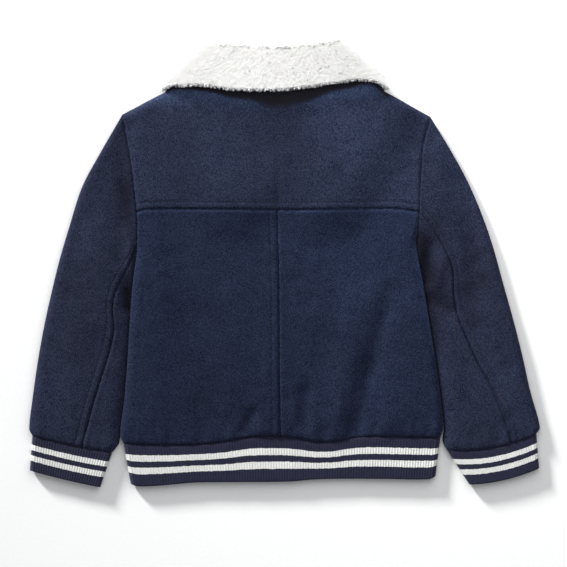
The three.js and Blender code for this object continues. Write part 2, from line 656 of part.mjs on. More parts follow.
function sleeveSection(side) {
  const rows = SLEEVE_SECTIONS[side];
  const columns = ['outerX', 'outerY', 'seamX', 'seamY', 'innerY', 'gap'];
  const value = Object.fromEntries(columns.map((name) => [name, curve(rows, 'at', name)]));
  return (at) => {
    const outer = vec2(value.outerX(at), value.outerY(at));
    const y = value.innerY(at);
    const inner = vec2(bodyEdgeX[side](y) + SIDES[side] * value.gap(at), y);
    const seam = vec2(value.seamX(at), value.seamY(at));
    return { outer, seam, inner, frontSeam: mix(outer, inner, FRONT_SEAM_SHARE) };
  };
}
const SLEEVES = { left: sleeveSection('left'), right: sleeveSection('right') };

// Wall points of one row of a sleeve, between two of its lengthwise lines.
function sleeveRun(side, layer, from, to, at, count) {
  const section = SLEEVES[side](at);
  const armhole = SLEEVES[side](0);
  const length = section[from].distanceTo(section[to]);
  const isFold = (line) => line === 'outer' || line === 'inner';
  const curved = 1 - smoothstep(at, 0, ARMHOLE_SHARE);
  const innerReach = lerp(UNDERARM_REACH, FOLD_RADIUS, smoothstep(at, 0, SLEEVE_TURN_LENGTH));
  return stations(length, count, isFold(from), isFold(to)).map((d) => {
    const plan = mix(section[from], section[to], d / length);
    const chord = mix(armhole[from], armhole[to], d / length);
    const seamX = bodyEdgeX[side](chord.y) + SIDES[side] * ARMHOLE_GAP;
    plan.x += (seamX - chord.x) * curved;
    const across = plan.distanceTo(section.outer) / section.inner.distanceTo(section.outer);
    plan.y -= sag(across, CUFFS[side].seamSag) * smoothstep(at, SEAM_SAG_FROM, 1);
    const outerShare = plan.distanceTo(section.outer) / FOLD_RADIUS;
    const innerShare = plan.distanceTo(section.inner) / innerReach;
    const fold = outerShare < innerShare ? section.outer : section.inner;
    const inward = section[layer > 0 ? 'seam' : 'frontSeam'].clone().sub(fold).normalize();
    const toRib = (1 - at) * SLEEVE_LENGTH;
    const thickness = clothThickness(toRib);
    const outer = layer > 0 ? backHeight(plan.x, plan.y, toRib) : frontHeight(plan.x, plan.y);
    return wallPoint(plan, layer, turn(Math.min(outerShare, innerShare)), inward, { thickness, outer });
  });
}

function addSleeve(side) {
  const topSleeve = SLEEVE_ROWS.map((at) => [
    ...sleeveRun(side, -1, 'frontSeam', 'outer', at, SLEEVE_STEPS.topFront),
    ...sleeveRun(side, 1, 'outer', 'seam', at, SLEEVE_STEPS.topBack).slice(1),
  ]);
  const underSleeve = SLEEVE_ROWS.map((at) => [
    ...sleeveRun(side, 1, 'seam', 'inner', at, SLEEVE_STEPS.underBack),
    ...sleeveRun(side, -1, 'inner', 'frontSeam', at, SLEEVE_STEPS.underFront).slice(1),
  ]);
  addWall(`sleeve_top_${side}`, topSleeve, MATERIALS.wool);
  addWall(`sleeve_under_${side}`, underSleeve, MATERIALS.wool);
}

// ---------------------------------------------------------------- ribs
const RIB_ROWS = [0, 0.97, 1];
const RIB_EDGE_ROUND = 0.6;
const RIB_PLAIN_STEP = 9;
const RIB_FOLD_ARC = 7.4; // length of the outer skin round a quarter of the fold

// Places across a flat band, evenly spaced round its folds: a share of its width and a turn.
function bandStations(width, step, foldAtStart, foldAtEnd) {
  const flat = width - RIB_FOLD_RADIUS * (foldAtStart + foldAtEnd);
  const arc = flat + RIB_FOLD_ARC * (foldAtStart + foldAtEnd);
  const count = 2 * Math.round(arc / step / 2);
  return Array.from({ length: count + 1 }, (_, i) => {
    const fromStart = foldAtStart ? (arc * i) / count : Infinity;
    const fromEnd = foldAtEnd ? (arc * (count - i)) / count : Infinity;
    const nearest = Math.min(fromStart, fromEnd);
    const angle = Math.min(nearest / RIB_FOLD_ARC, 1) * (Math.PI / 2);
    const past = Math.max(nearest - RIB_FOLD_ARC, 0);
    const distance = nearest < RIB_FOLD_ARC
      ? RIB_FOLD_RADIUS * (1 - Math.cos(angle))
      : RIB_FOLD_RADIUS + past;
    if (nearest === Infinity) return { share: i / count, angle };
    return { share: fromStart <= fromEnd ? distance / width : 1 - distance / width, angle };
  });
}

// One layer of a rib band, row by row. plan(share, down) gives the place across and down the band.
function ribLayer({ plan, width, layer, from, to, step, ribbed, lift = () => 0 }) {
  const reach = Math.abs(to - from);
  const places = bandStations(width * reach, step, from === 0 || from === 1, to === 0 || to === 1);
  return RIB_ROWS.map((down) => places.map(({ share, angle }, i) => {
    const across = lerp(from, to, share);
    const point = plan(across, down);
    const inward = plan(0.5, down).sub(point).normalize();
    const rounded = down === 1 ? RIB_EDGE_ROUND : 0;
    const outer = layer > 0 ? RIB_HEIGHT - rounded : lift(point.x) + rounded / 2;
    const wall = wallPoint(point, layer, angle, inward, {
      thickness: RIB_CLOTH - 2 * rounded,
      outer,
      middle: RIB_HEIGHT / 2,
    });
    if (ribbed && i % 2 === 1) wall.outer.lerp(wall.inner, RIB_RELIEF / RIB_CLOTH);
    return wall;
  }));
}

// A band from its runs of cloth, each of which starts where the one before it ends.
function addRibBand(name, runs) {
  const joinRow = (layers, r) => layers.flatMap((layer, i) => layer[r].slice(i ? 1 : 0));
  const join = (layers) => RIB_ROWS.map((down, r) => joinRow(layers, r));
  const stepOf = (run) => (run.ribbed ? RIB_PITCH / 2 : RIB_PLAIN_STEP);
  const fine = join(runs.map((run) => ribLayer({ ...run, step: stepOf(run) })));
  const plain = join(runs.map((run) => ribLayer({ ...run, ribbed: false, step: RIB_PLAIN_STEP })));
  const outer = drawBack(fine.map((row) => row.map((point) => point.outer)), RIB_SEAM_GAP);
  const inner = drawBack(plain.map((row) => row.map((point) => point.inner)), RIB_SEAM_GAP);
  return addPiece(name, wallGeometry(outer, inner), MATERIALS.rib);
}

// Height of a line of points at x, straight from point to point.
function lineY(points) {
  const sorted = [...points].sort((p, q) => p.x - q.x);
  return (x) => {
    let i = 0;
    while (i < sorted.length - 2 && sorted[i + 1].x < x) i += 1;
    const t = (x - sorted[i].x) / (sorted[i + 1].x - sorted[i].x);
    return lerp(sorted[i].y, sorted[i + 1].y, t);
  };
}

function addHemRib(seams) {
  const seamEnds = [HEM_CORNER.left.x, HEM_CORNER.right.x];
  const freeEnds = [HEM_BOTTOM[0].x, HEM_BOTTOM.at(-1).x];
  const width = seamEnds[1] - seamEnds[0];
  const planFrom = (seamY) => (share, down) => {
    const seam = vec2(lerp(...seamEnds, share), 0);
    seam.y = seamY(seam.x);
    const free = vec2(lerp(...freeEnds, share), 0);
    free.y = hemBottomY(free.x);
    return mix(seam, free, down);
  };
  const shareAt = (x) => (x - seamEnds[0]) / width;
  const leftEnd = shareAt(CENTRE_X + FRONT_OVERLAP);
  const rightEnd = shareAt(CENTRE_X - FRONT_OVERLAP);
  const lift = (x) => overlapLift(x) * (RIB_CLOTH + OVERLAP_GAP);
  const backPlan = planFrom(lineY(seams.back));
  return addRibBand('hem_rib', [
    { plan: planFrom(lineY(seams.frontLeft)), width, layer: -1, from: leftEnd, to: 0 },
    { plan: backPlan, width, layer: 1, from: 0, to: 1, ribbed: true },
    { plan: planFrom(lineY(seams.frontRight)), width, layer: -1, from: 1, to: rightEnd, lift },
  ]);
}

const CUFF_JOIN = 0.86; // where a cuff's two ends meet, on its lower layer

function addCuff(side) {
  const { outer, inner } = SLEEVES[side](1);
  const free = CUFFS[side];
  const freeOuter = vec2(free.outerX, free.outerY);
  const freeInner = vec2(free.innerX, free.innerY);
  const plan = (share, down) => {
    const seam = mix(outer, inner, share);
    const edge = mix(freeOuter, freeInner, share);
    seam.y -= sag(share, free.seamSag);
    edge.y -= sag(share, free.sag);
    return mix(seam, edge, down);
  };
  const width = outer.distanceTo(inner);
  addRibBand(`cuff_${side}`, [
    { plan, width, layer: -1, from: CUFF_JOIN, to: 0 },
    { plan, width, layer: 1, from: 0, to: 1, ribbed: true },
    { plan, width, layer: -1, from: 1, to: CUFF_JOIN },
  ]);
}

// ---------------------------------------------------------------- collar
// Sections of the folded collar: a place from the roll line, along the fall or the stand, and a
// height from the middle plane. The fall and the stand end at their own lengths.
const SHERPA_SECTION = [
  { part: 'fall', end: 0.6, h: 7.1 },
  { part: 'fall', end: 0, h: 8.6 },
  { part: 'fall', end: 0.6, h: 10.8 },
  { part: 'fall', end: 3, h: 12.6 },
  { part: 'fall', end: 8, h: 13.1 },
  { part: 'fall', share: 0.7, h: 13.1 },
  { part: 'fall', share: 0.5, h: 13.1 },
  { part: 'fall', share: 0.3, h: 13.1 },
  { part: 'fall', a: 9, h: 13.1 },
  { part: 'fall', a: 5, h: 12.7 },
  { part: 'fall', a: 2, h: 11.3 },
  { part: 'fall', a: 0.3, h: 8.9 },
  { part: 'stand', a: 0, h: 6.2 },
  { part: 'stand', a: 0.9, h: 3.4 },
  { part: 'stand', a: 2.8, h: 1.3 },
  { part: 'stand', a: 6, h: 0.4 },
  { part: 'stand', end: 0, h: 0.4 },
  { part: 'stand', end: 0, h: 3.4 },
  { part: 'stand', a: 8, h: 3.4 },
  { part: 'stand', a: 6.8, h: 4.1 },
  { part: 'stand', a: 6.5, h: 5.25 },
  { part: 'fall', a: 6.8, h: 6.4 },
  { part: 'fall', a: 8, h: 7.1 },
  { part: 'fall', share: 0.5, h: 7.1 },
];
const UNDER_COLLAR_SECTION = [
  { part: 'fall', end: -1.6, h: 5.5 },
  { part: 'fall', end: -1.8, h: 6.7 },
  { part: 'fall', share: 0.7, h: 6.8 },
  { part: 'fall', share: 0.4, h: 6.8 },
  { part: 'fall', a: 8.2, h: 6.8 },
  { part: 'fall', a: 7.2, h: 6.2 },
  { part: 'stand', a: 6.9, h: 5.25 },
  { part: 'stand', a: 7.2, h: 4.3 },
  { part: 'stand', a: 8.2, h: 3.7 },
  { part: 'stand', end: 0, h: 3.7 },
  { part: 'stand', end: 0, h: 5.1 },
  { part: 'stand', a: 9.2, h: 5.1 },
  { part: 'stand', a: 8.9, h: 5.25 },
  { part: 'fall', a: 9.2, h: 5.4 },
  { part: 'fall', share: 0.5, h: 5.4 },
];

const BACK_STEPS = 10;
const TURN_STEPS = 6;
const ROLL_RISE = 9; // how far the back's roll line stands past the shoulders'
const rollY = curve(COLLAR_BACK_ROLL, 'x', 'y');
const collarEdgeY = curve(COLLAR_BACK_EDGE, 'x', 'y');

// Places along the collar's length at one shoulder, from the back to the front end.
function collarTurnAndFront(side) {
  const hinge = HINGES[side];
  const { hang, tipX, tipY } = COLLAR_SIDES[side];
  const edgeAt = (angle) => hinge.edge.clone().addScaledVector(hinge.along, -hang * (1 - Math.sin(angle)));
  const places = [];
  for (let i = 0; i <= TURN_STEPS; i += 1) {
    const angle = (Math.PI * i) / TURN_STEPS;
    const rise = -ROLL_RISE * Math.max(Math.cos(angle), 0);
    const roll = hinge.roll.clone().addScaledVector(hinge.along, rise);
    places.push({ ...hinge, roll, edge: edgeAt(angle), angle });
  }
  const rollEnd = vec2(CENTRE_X + SIDES[side] * ROLL_POINT_X, ROLL_POINT_Y);
  const neckline = frontNeckline(side);
  for (let i = 1; i <= NECKLINE_STEPS; i += 1) {
    const t = i / NECKLINE_STEPS;
    places.push({
      roll: mix(hinge.roll, rollEnd, t),
      edge: mix(edgeAt(Math.PI), vec2(tipX, tipY), t),
      neck: neckline[i],
      outward: hinge.outward,
      angle: Math.PI,
    });
  }
  return places;
}

function collarPlaces() {
  const left = collarTurnAndFront('left');
  const right = collarTurnAndFront('right');
  const back = [];
  for (let i = 1; i < BACK_STEPS; i += 1) {
    const t = i / BACK_STEPS;
    const roll = mix(left[0].roll, right[0].roll, t);
    const edge = mix(left[0].edge, right[0].edge, t);
    roll.y = rollY(roll.x);
    edge.y = collarEdgeY(edge.x);
    const neck = mix(left[0].neck, right[0].neck, t);
    back.push({ roll, edge, neck, outward: vec2(0, 1), angle: 0 });
  }
  return [...left.reverse(), ...back, ...right];
}

function sectionPlace(point, place) {
  const end = place[point.part === 'fall' ? 'edge' : 'neck'];
  const length = place.roll.distanceTo(end) - (point.part === 'stand' ? SEAM_GAP : 0);
  if (point.a !== undefined) return { end, a: point.a };
  return { end, a: point.share === undefined ? length - point.end : point.share * length };
}

function sweptCollar(section) {
  const places = collarPlaces();
  const points = [];
  const rings = places.map((place) => section.map((point) => {
    const { end, a } = sectionPlace(point, place);
    const flare = point.part === 'fall' ? COLLAR_FLARE * (a / place.roll.distanceTo(end)) : 0;
    const reach = (point.h + flare) * Math.sin(place.angle);
    const plan = mix(place.roll, end, a / place.roll.distanceTo(end)).addScaledVector(place.outward, reach);
    const z = COLLAR_MIDDLE + point.h * Math.cos(place.angle);
    return points.push(new THREE.Vector3(plan.x, plan.y, z)) - 1;
  }));
  const faces = [];
  for (let r = 0; r < rings.length - 1; r += 1) {
    rings[r].forEach((index, k) => {
      const next = (k + 1) % section.length;
      faces.push(index, rings[r][next], rings[r + 1][next]);
      faces.push(index, rings[r + 1][next], rings[r + 1][k]);
    });
  }
  const closeEnd = (ring, place, facing) => {
    const outline = section.map((point) => vec2(sectionPlace(point, place).a, point.h));
    const side = Math.sign(THREE.ShapeUtils.area(outline)) * facing;
    THREE.ShapeUtils.triangulateShape(outline, []).forEach(([a, b, c]) => {
      const corners = [outline[a], outline[b], outline[c]];
      const turned = Math.sign(THREE.ShapeUtils.area(corners)) === side;
      faces.push(ring[a], ...(turned ? [ring[b], ring[c]] : [ring[c], ring[b]]));
    });
  };
  closeEnd(rings[0], places[0], -1);
  closeEnd(rings.at(-1), places.at(-1), 1);
  return solidMesh(points, faces);
}

// ---------------------------------------------------------------- press studs
const wasm = await Module();
wasm.setup();

function toManifold(geometry) {
  const bare = geometry.clone();
  bare.deleteAttribute('normal');
  bare.deleteAttribute('uv');
  const merged = mergeVertices(bare);
  return new wasm.Manifold(new wasm.Mesh({
    numProp: 3,
    vertProperties: merged.attributes.position.array,
    triVerts: Uint32Array.from(merged.index.array),
  }));
}

function fromManifold(solid) {
  const { vertProperties, triVerts } = solid.getMesh();
  const geometry = new THREE.BufferGeometry();
  geometry.setAttribute('position', new THREE.BufferAttribute(vertProperties, 3));
  geometry.setIndex(new THREE.BufferAttribute(triVerts, 1));
  return geometry;
}

const DISC_SIDES = 20;
const CUT_CLEAR = 1; // a cutter starts this far outside the cloth

// A round disc standing on the height z.
function disc(radius, height, x, y, z) {
  return new THREE.CylinderGeometry(radius, radius, height, DISC_SIDES)
    .rotateX(Math.PI / 2)
    .translate(x, y, z + height / 2);
}

const woolSnapYs = Array.from({ length: WOOL_SNAPS }, (_, i) => SNAP_FIRST_Y - i * SNAP_SPACING);

function sinkSnaps(mesh, ys) {
  const cutDepth = SNAP_RECESS + CUT_CLEAR;
  const recess = (y) => toManifold(disc(SNAP_RADIUS + SEAM_GAP, cutDepth, CENTRE_X, y, -CUT_CLEAR));
  const cut = ys.reduce((solid, y) => solid.subtract(recess(y)), toManifold(mesh.geometry));
  mesh.geometry = fromManifold(cut);
}

function addSnap(number, y) {
  const clearOfSurface = SNAP_RECESS - SEAM_GAP - SNAP_THICKNESS;
  const cap = disc(SNAP_RADIUS, SNAP_THICKNESS, CENTRE_X, y, clearOfSurface);
  addPiece(`snap_${number}`, cap, MATERIALS.metal);
}

// ---------------------------------------------------------------- the jacket
backYoke();
const backLeftSeam = backPanel('left');
const backRightSeam = backPanel('right');
const frontLeft = frontPanel('left');
const frontRight = frontPanel('right');
addWall('front_left', frontLeft.wall, MATERIALS.wool);
addWall('front_right', frontRight.wall, MATERIALS.wool);
addSleeve('left');
addSleeve('right');
const hemRib = addHemRib({
  back: [...backLeftSeam, ...backRightSeam.slice(0, -1)],
  frontLeft: frontLeft.seam,
  frontRight: frontRight.seam,
});
addCuff('left');
addCuff('right');
addPiece('collar', sweptCollar(SHERPA_SECTION), MATERIALS.sherpa);
addPiece('under_collar', sweptCollar(UNDER_COLLAR_SECTION), MATERIALS.underCollar);
sinkSnaps(jacket.getObjectByName('front_left'), woolSnapYs);
sinkSnaps(hemRib, [RIB_SNAP_Y]);
[...woolSnapYs, RIB_SNAP_Y].forEach((y, i) => addSnap(i + 1, y));

export default jacket;
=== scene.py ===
import math

import bmesh
import bpy
import numpy as np
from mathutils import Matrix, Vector, noise
from mathutils.bvhtree import BVHTree


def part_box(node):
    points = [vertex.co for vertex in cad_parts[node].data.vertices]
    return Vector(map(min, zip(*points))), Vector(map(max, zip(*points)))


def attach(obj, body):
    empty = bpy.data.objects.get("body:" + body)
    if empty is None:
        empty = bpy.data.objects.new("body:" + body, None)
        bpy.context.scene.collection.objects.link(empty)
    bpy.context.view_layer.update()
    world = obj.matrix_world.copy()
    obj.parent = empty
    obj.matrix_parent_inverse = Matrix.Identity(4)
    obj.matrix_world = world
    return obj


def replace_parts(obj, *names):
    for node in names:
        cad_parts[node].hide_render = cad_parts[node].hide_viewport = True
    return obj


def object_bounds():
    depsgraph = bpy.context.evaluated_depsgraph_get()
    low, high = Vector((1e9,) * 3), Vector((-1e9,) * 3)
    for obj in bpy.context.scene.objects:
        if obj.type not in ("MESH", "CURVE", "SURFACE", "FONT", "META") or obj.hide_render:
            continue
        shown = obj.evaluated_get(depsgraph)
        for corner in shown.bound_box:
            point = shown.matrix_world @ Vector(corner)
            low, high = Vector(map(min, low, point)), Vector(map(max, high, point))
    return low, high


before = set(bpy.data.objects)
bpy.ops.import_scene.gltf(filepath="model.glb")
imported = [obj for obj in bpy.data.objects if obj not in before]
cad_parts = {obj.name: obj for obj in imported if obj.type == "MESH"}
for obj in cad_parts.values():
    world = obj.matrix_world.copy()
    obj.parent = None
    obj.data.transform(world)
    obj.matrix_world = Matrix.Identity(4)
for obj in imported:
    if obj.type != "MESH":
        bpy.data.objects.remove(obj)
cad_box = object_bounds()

MM = 0.001

# ---------------------------------------------------------------- sizes
SEAM_GAP = 0.3
OVERLAP_GAP = 0.5
ARMHOLE_GAP = -0.15
RIB_SEAM_GAP = 0.6
CLOTH = 3.2
RIB_CLOTH = 2.5
LAID_HEIGHT = 10.2
RIB_HEIGHT = 8.8
RIB_PITCH = 3.0
RIB_RELIEF = 0.35
FOLD_RADIUS = 9
SHOULDER_RADIUS = 8
RIB_FOLD_RADIUS = 5
RIB_FOLD_ARC = 7.4
UNDERARM_REACH = 40
NECK_REACH = 12
HEM_ROUND = 10
FRONT_OVERLAP = 12
CENTRE_X = -6
COLLAR_MIDDLE = 13.1
YOKE_SAG = 1.3  # how far the yoke's soft edge hangs over its seam
COLLAR_LIFT = 8
STAND_LENGTH = 34
NECKLINE_BOW = 9
ROLL_RISE = 9
COLLAR_MARGIN = 12
FRONT_RAMP = 30
BACK_RAMP = 55
FOLD_FADE = 28
DEEPEST_TROUGH = -3
HIGHEST_RIDGE = 6
OVERLAP_CLEAR = 5
OVERLAP_RAMP = 16
SLEEVE_LENGTH = 290
TOPSTITCH = 8.6  # distance of a row of topstitching from its seam

SIDES = {"left": -1, "right": 1}

# y, left, right: the body's edges
BODY_SECTIONS = np.array([
    (165, -178.4, 161.2), (138, -173.5, 153.5), (112, -169.0, 150.3), (86, -165.6, 149.2),
    (60, -162.9, 148.2), (40, -162.4, 147.2), (26, -162.5, 144.6), (8, -163.4, 146.8),
    (-20, -166.9, 152.0), (-65, -170.2, 159.3), (-110, -173.0, 166.6), (-150, -176.3, 172.0),
    (-180, -180.2, 174.2), (-190, -179.6, 171.5), (-198, -176.4, 169.3),
])
# x, y
HEM_SEAM = np.array([
    (-177, -197.0), (-148, -198.3), (-116, -198.6), (-85, -197.2), (-62, -194.4), (-40, -190.2),
    (-5, -189.4), (14, -191.4), (33, -195.1), (52, -195.1), (71, -191.3), (90, -189.2),
    (130, -189.8), (170, -190.9),
])
HEM_BOTTOM = np.array([
    (-169, -241.5), (-160, -244.0), (-135, -243.0), (-100, -239.9), (-60, -239.3), (5, -238.7),
    (30, -236.6), (60, -235.6), (110, -235.8), (158, -236.2), (166, -233.0),
])
YOKE_SEAM = np.array([
    (-163, 58.8), (-150, 61.8), (-60, 61.5), (20, 61.0), (120, 62.4), (148, 58.8),
])
# y, x
CENTRE_BACK = np.array([(62, -8.6), (-16, -6.3), (-125, -5.6), (-200, -4.4)])

# at, outer x, outer y, seam x, seam y, inner y, gap from the body's side
SLEEVE_SECTIONS = {
    "left": np.array([
        (0, -178.4, 164.5, -162.5, 22, 13, 0.5), (0.1, -203.5, 121, -171, 0, -5, 0.8),
        (0.2, -222.5, 85, -180.6, -18, -24, 0.8), (0.31, -236.3, 42, -187.6, -36, -43, 0.8),
        (0.42, -247.2, 5, -188.8, -52, -61, 0.8), (0.53, -256, -31, -187.4, -70, -81, 0.8),
        (0.64, -264, -67, -191.3, -92, -104, 0.8), (0.75, -271, -106, -199.8, -120, -130, 0.8),
        (0.86, -276.6, -145, -209.7, -151, -159, 0.8), (0.96, -280.5, -180, -219.3, -187, -190, 2),
        (1, -277.2, -188, -222.4, -200, -207, 14),
    ]),
    "right": np.array([
        (0, 160.8, 162, 148.2, 57, 26, 0.5), (0.1, 182, 127, 160.8, 42, 9, 0.8),
        (0.2, 201, 92, 175.5, 17, -10, 0.8), (0.31, 216.4, 56, 184.6, -6, -30, 0.8),
        (0.42, 229.2, 19, 185.6, -30, -50, 0.8), (0.53, 240, -20, 189.3, -54, -73, 0.8),
        (0.64, 250.4, -57, 198.5, -78, -97, 0.8), (0.75, 260.6, -97, 213.5, -111, -125, 0.8),
        (0.86, 270, -139, 230.5, -139.5, -156, 0.8), (0.96, 280.5, -178, 246, -178, -190, 3),
        (1, 276.8, -186, 248.6, -191.2, -204, 10),
    ]),
}
# free edge's outer and inner ends, its sag and the seam's sag
CUFFS = {
    "left": dict(outer=(-280, -226.5), inner=(-202.5, -245), sag=1, seam_sag=1.5),
    "right": dict(outer=(280, -224), inner=(203, -242), sag=4, seam_sag=7),
}
COLLAR_SIDES = {
    "left": dict(roll=(-80.3, 242.4), edge=(-134, 193.2), hang=18, tip=(-54, 82)),
    "right": dict(roll=(64, 245.5), edge=(113, 194), hang=24, tip=(42, 82)),
}
COLLAR_BACK_ROLL = np.array([
    (-72, 241.0), (-55, 240.4), (-20, 239.0), (8, 239.8), (36, 242.2), (56, 245.5),
])
COLLAR_BACK_EDGE = np.array([
    (-112, 196.4), (-92, 196.3), (-74, 194.4), (-58, 191.9), (-20, 191.4), (4, 192.2),
    (38, 196.9), (70, 201.4), (88, 203.2),
])
NECK_POINT = (13, 131)  # from the centre line, and y
ROLL_POINT = (3, 138)
COLLAR_LOWEST_Y = 191.4

# x1, y1, x2, y2, width, height: the laid cloth's large folds, a ridge or, if negative, a trough
FOLDS = np.array([
    (-122, 50, -104, -60, 22, -1.8), (-104, -60, -80, -165, 18, -1.6), (-150, 20, -150, -160, 24, 1.5),
    (-45, 30, -50, -120, 34, 1.6), (-34, -163, -44, -182, 6, -2.2), (24, -140, 20, -176, 8, -2.4),
    (118, -28, 92, -120, 10, -2.0), (94, -110, 80, -182, 11, -2.6), (86, -40, 56, -165, 20, 2.8),
    (138, -60, 122, -165, 22, 2.0), (20, 30, 34, -60, 26, 1.8), (14, -18, 26, -40, 9, -1.2),
    (-110, 150, -70, 90, 20, 1.2), (60, 150, 100, 95, 22, 1.4), (-175, 150, -178, 50, 10, -2.2),
    (-178, 40, -178, 5, 8, -1.8), (-199, 40, -200, -60, 16, 2.4), (-222, 0, -240, -150, 26, 2.0),
    (-174, -22, -172, -48, 8, -2.6), (162, 20, 156, -16, 9, -2.8), (172, 130, 165, 60, 14, 1.8),
    (196, 88, 204, 40, 14, -2.0), (204, 40, 208, -32, 14, -2.4), (174, 5, 166, -20, 8, 1.8),
    (158, -38, 184, -50, 8, -2.2), (222, -60, 250, -150, 24, 2.2), (186, -90, 206, -170, 18, 1.2),
    (CENTRE_X, 90, CENTRE_X, -190, 26, 1.6),
])

# The same columns: the finer creases of the back, in the surface of the cloth alone.
BACK_CREASES = np.array([
    (-96, -150, -88, -190, 5, -0.5), (-128, -160, -124, -190, 6, -0.4), (-60, -166, -66, -188, 5, -0.5),
    (2, -150, 4, -184, 6, -0.5), (40, -160, 44, -188, 5, -0.6), (62, -150, 56, -184, 6, 0.6),
    (104, -150, 100, -184, 6, -0.6), (140, -164, 142, -186, 5, -0.4), (-150, -40, -120, -120, 12, -0.5),
    (-30, 40, -70, -20, 16, -0.5), (60, 40, 110, 0, 14, -0.6), (130, 30, 118, -30, 9, 0.5),
    (-60, 180, -30, 120, 16, -0.5), (-10, 175, 30, 110, 14, -0.5), (110, 170, 140, 110, 12, 0.5),
    (-140, 140, -120, 80, 10, 0.5), (50, 110, 10, 75, 10, 0.4), (-90, 100, -60, 72, 9, 0.4),
    (-8, 185, -8, 62, 2.5, -0.35),
])
SLEEVE_CREASES = np.array([
    (-196, 110, -190, 40, 8, -0.6), (-216, 70, -212, 10, 9, 0.6), (-236, -30, -214, -60, 6, -0.5),
    (-200, -62, -190, -100, 7, -0.5), (-262, -90, -232, -112, 8, -0.5), (-258, -150, -236, -170, 6, -0.5),
    (-226, -160, -222, -188, 5, -0.5), (178, 110, 190, 60, 7, -0.5), (220, 10, 196, -10, 6, -0.6),
    (236, -40, 210, -70, 8, -0.6), (190, 30, 200, -30, 5, 0.5), (250, -110, 226, -128, 7, -0.5),
    (262, -150, 244, -172, 6, -0.5), (196, -120, 214, -180, 8, -0.6), (176, -60, 188, -110, 7, -0.5),
])

# x1, y1, x2, y2, width, share: where painted light lightens the wool or, if negative, painted shade darkens
# it
BODY_PAINTED_LIGHT = np.array([
    (60, 150, 120, 90, 45, 0.2), (0, 160, 5, 120, 30, -0.2), (-80, 150, -70, 100, 25, 0.12),
    (30, 30, 80, -20, 40, 0.15), (80, -180, 140, -130, 35, 0.12), (-90, -60, -80, -140, 50, -0.15),
    (70, 190, 120, 40, 70, 0.1), (-160, 190, -158, -20, 16, 0.13), (-100, -190, 100, -190, 50, -0.06),
])
# x, y of the lower border of the painted deep shade under the collar, its softness, its depth, and how
# much painted light below it lightens the collar's cast shadow
COLLAR_SHADE = np.array([
    (-130, 188, 1.2, 0.9, 1.0), (-122, 191, 1.2, 0.9, 1.0), (-109, 192.2, 0.9, 0.93, 1.0),
    (-93, 190.7, 0.9, 0.93, 1.0), (-76.5, 188.3, 1.5, 0.86, 1.1), (-60, 183, 2, 0.75, 0.95),
    (-38, 180.3, 3, 0.7, 1.0), (-16, 172.8, 6, 0.7, 1.1), (6, 173.8, 6, 0.7, 1.15),
    (28, 178.6, 3.5, 0.72, 1.1), (50, 188.8, 3, 0.72, 1.1), (72, 192.8, 2, 0.72, 1.1),
    (83, 196.3, 1.5, 0.76, 1.1), (92, 197.6, 1.5, 0.76, 1.0), (98.5, 194.8, 1.5, 0.8, 0.7),
    (104, 190, 1.2, 0.85, 0.4), (110, 184, 1.2, 0.85, 0),
])
# The same columns for the sleeves: painted light, and painted shade in the hollows beside the body and under
# the arms
SLEEVE_PAINTED_LIGHT = np.array([
    (175, 130, 205, 60, 30, 0.2), (155, 30, 165, -40, 22, -0.25), (-170, 140, -170, 70, 18, -0.2),
    (240, -130, 265, -175, 30, 0.2), (-260, -175, -245, -150, 30, 0.12),
    (-173.5, -28, -172, -45, 6.5, -0.68), (151, 30, 157, -12, 7, -0.3), (158, -36, 182, -51, 6, -0.2),
    (195, 70, 204, 28, 9, -0.12), (204, 28, 216, -16, 10, -0.2), (216, -16, 211, -38, 9, -0.15),
    (-224, -15, -217, -95, 20, -0.1),
    (-175, 86, -170, 36, 9, -0.34), (200, -22, 203, -58, 10, -0.26), (163, -2, 167, -28, 7, -0.15),
])
# how light the sleeves' wool is painted beside the yoke's: painted shade
SLEEVE_PAINTED_TONE = 0.92


# ---------------------------------------------------------------- curves and plan grids
def smoothstep(x, low, high):
    t = np.clip((x - low) / (high - low), 0, 1)
    return t * t * (3 - 2 * t)


def curve(keys, values):
    """A smooth curve through the rows of a table: value as a function of key."""
    order = np.argsort(keys)
    keys, values = np.asarray(keys, float)[order], np.asarray(values, float)[order]
    last = len(keys) - 1
    after = np.minimum(np.arange(last + 1) + 1, last)
    before = np.maximum(np.arange(last + 1) - 1, 0)
    slopes = (values[after] - values[before]) / (keys[after] - keys[before])

    def value(position):
        at = np.clip(position, keys[0], keys[-1])
        i = np.clip(np.searchsorted(keys, at, side="left") - 1, 0, last - 1)
        span = keys[i + 1] - keys[i]
        t = (at - keys[i]) / span
        a = 2 * t**3 - 3 * t**2 + 1
        b = t**3 - 2 * t**2 + t
        c = 3 * t**2 - 2 * t**3
        d = t**3 - t**2
        return a * values[i] + b * span * slopes[i] + c * values[i + 1] + d * span * slopes[i + 1]

    return value


body_edge_x = {
    "left": curve(BODY_SECTIONS[:, 0], BODY_SECTIONS[:, 1]),
    "right": curve(BODY_SECTIONS[:, 0], BODY_SECTIONS[:, 2]),
}
hem_seam_y = curve(HEM_SEAM[:, 0], HEM_SEAM[:, 1])
hem_bottom_y = curve(HEM_BOTTOM[:, 0], HEM_BOTTOM[:, 1])
yoke_seam_y = curve(YOKE_SEAM[:, 0], YOKE_SEAM[:, 1] - YOKE_SAG)
centre_back_x = curve(CENTRE_BACK[:, 0], CENTRE_BACK[:, 1])
roll_y = curve(COLLAR_BACK_ROLL[:, 0], COLLAR_BACK_ROLL[:, 1])
collar_edge_y = curve(COLLAR_BACK_EDGE[:, 0], COLLAR_BACK_EDGE[:, 1])


def body_edge(side, y):
    y = np.asarray(y, float)
    return np.stack([body_edge_x[side](y), y], axis=-1)


def mix(p, q, t):
    return p + (q - p) * np.asarray(t)[..., None]


def norm(v):
    return v / np.maximum(np.linalg.norm(v, axis=-1, keepdims=True), 1e-9)


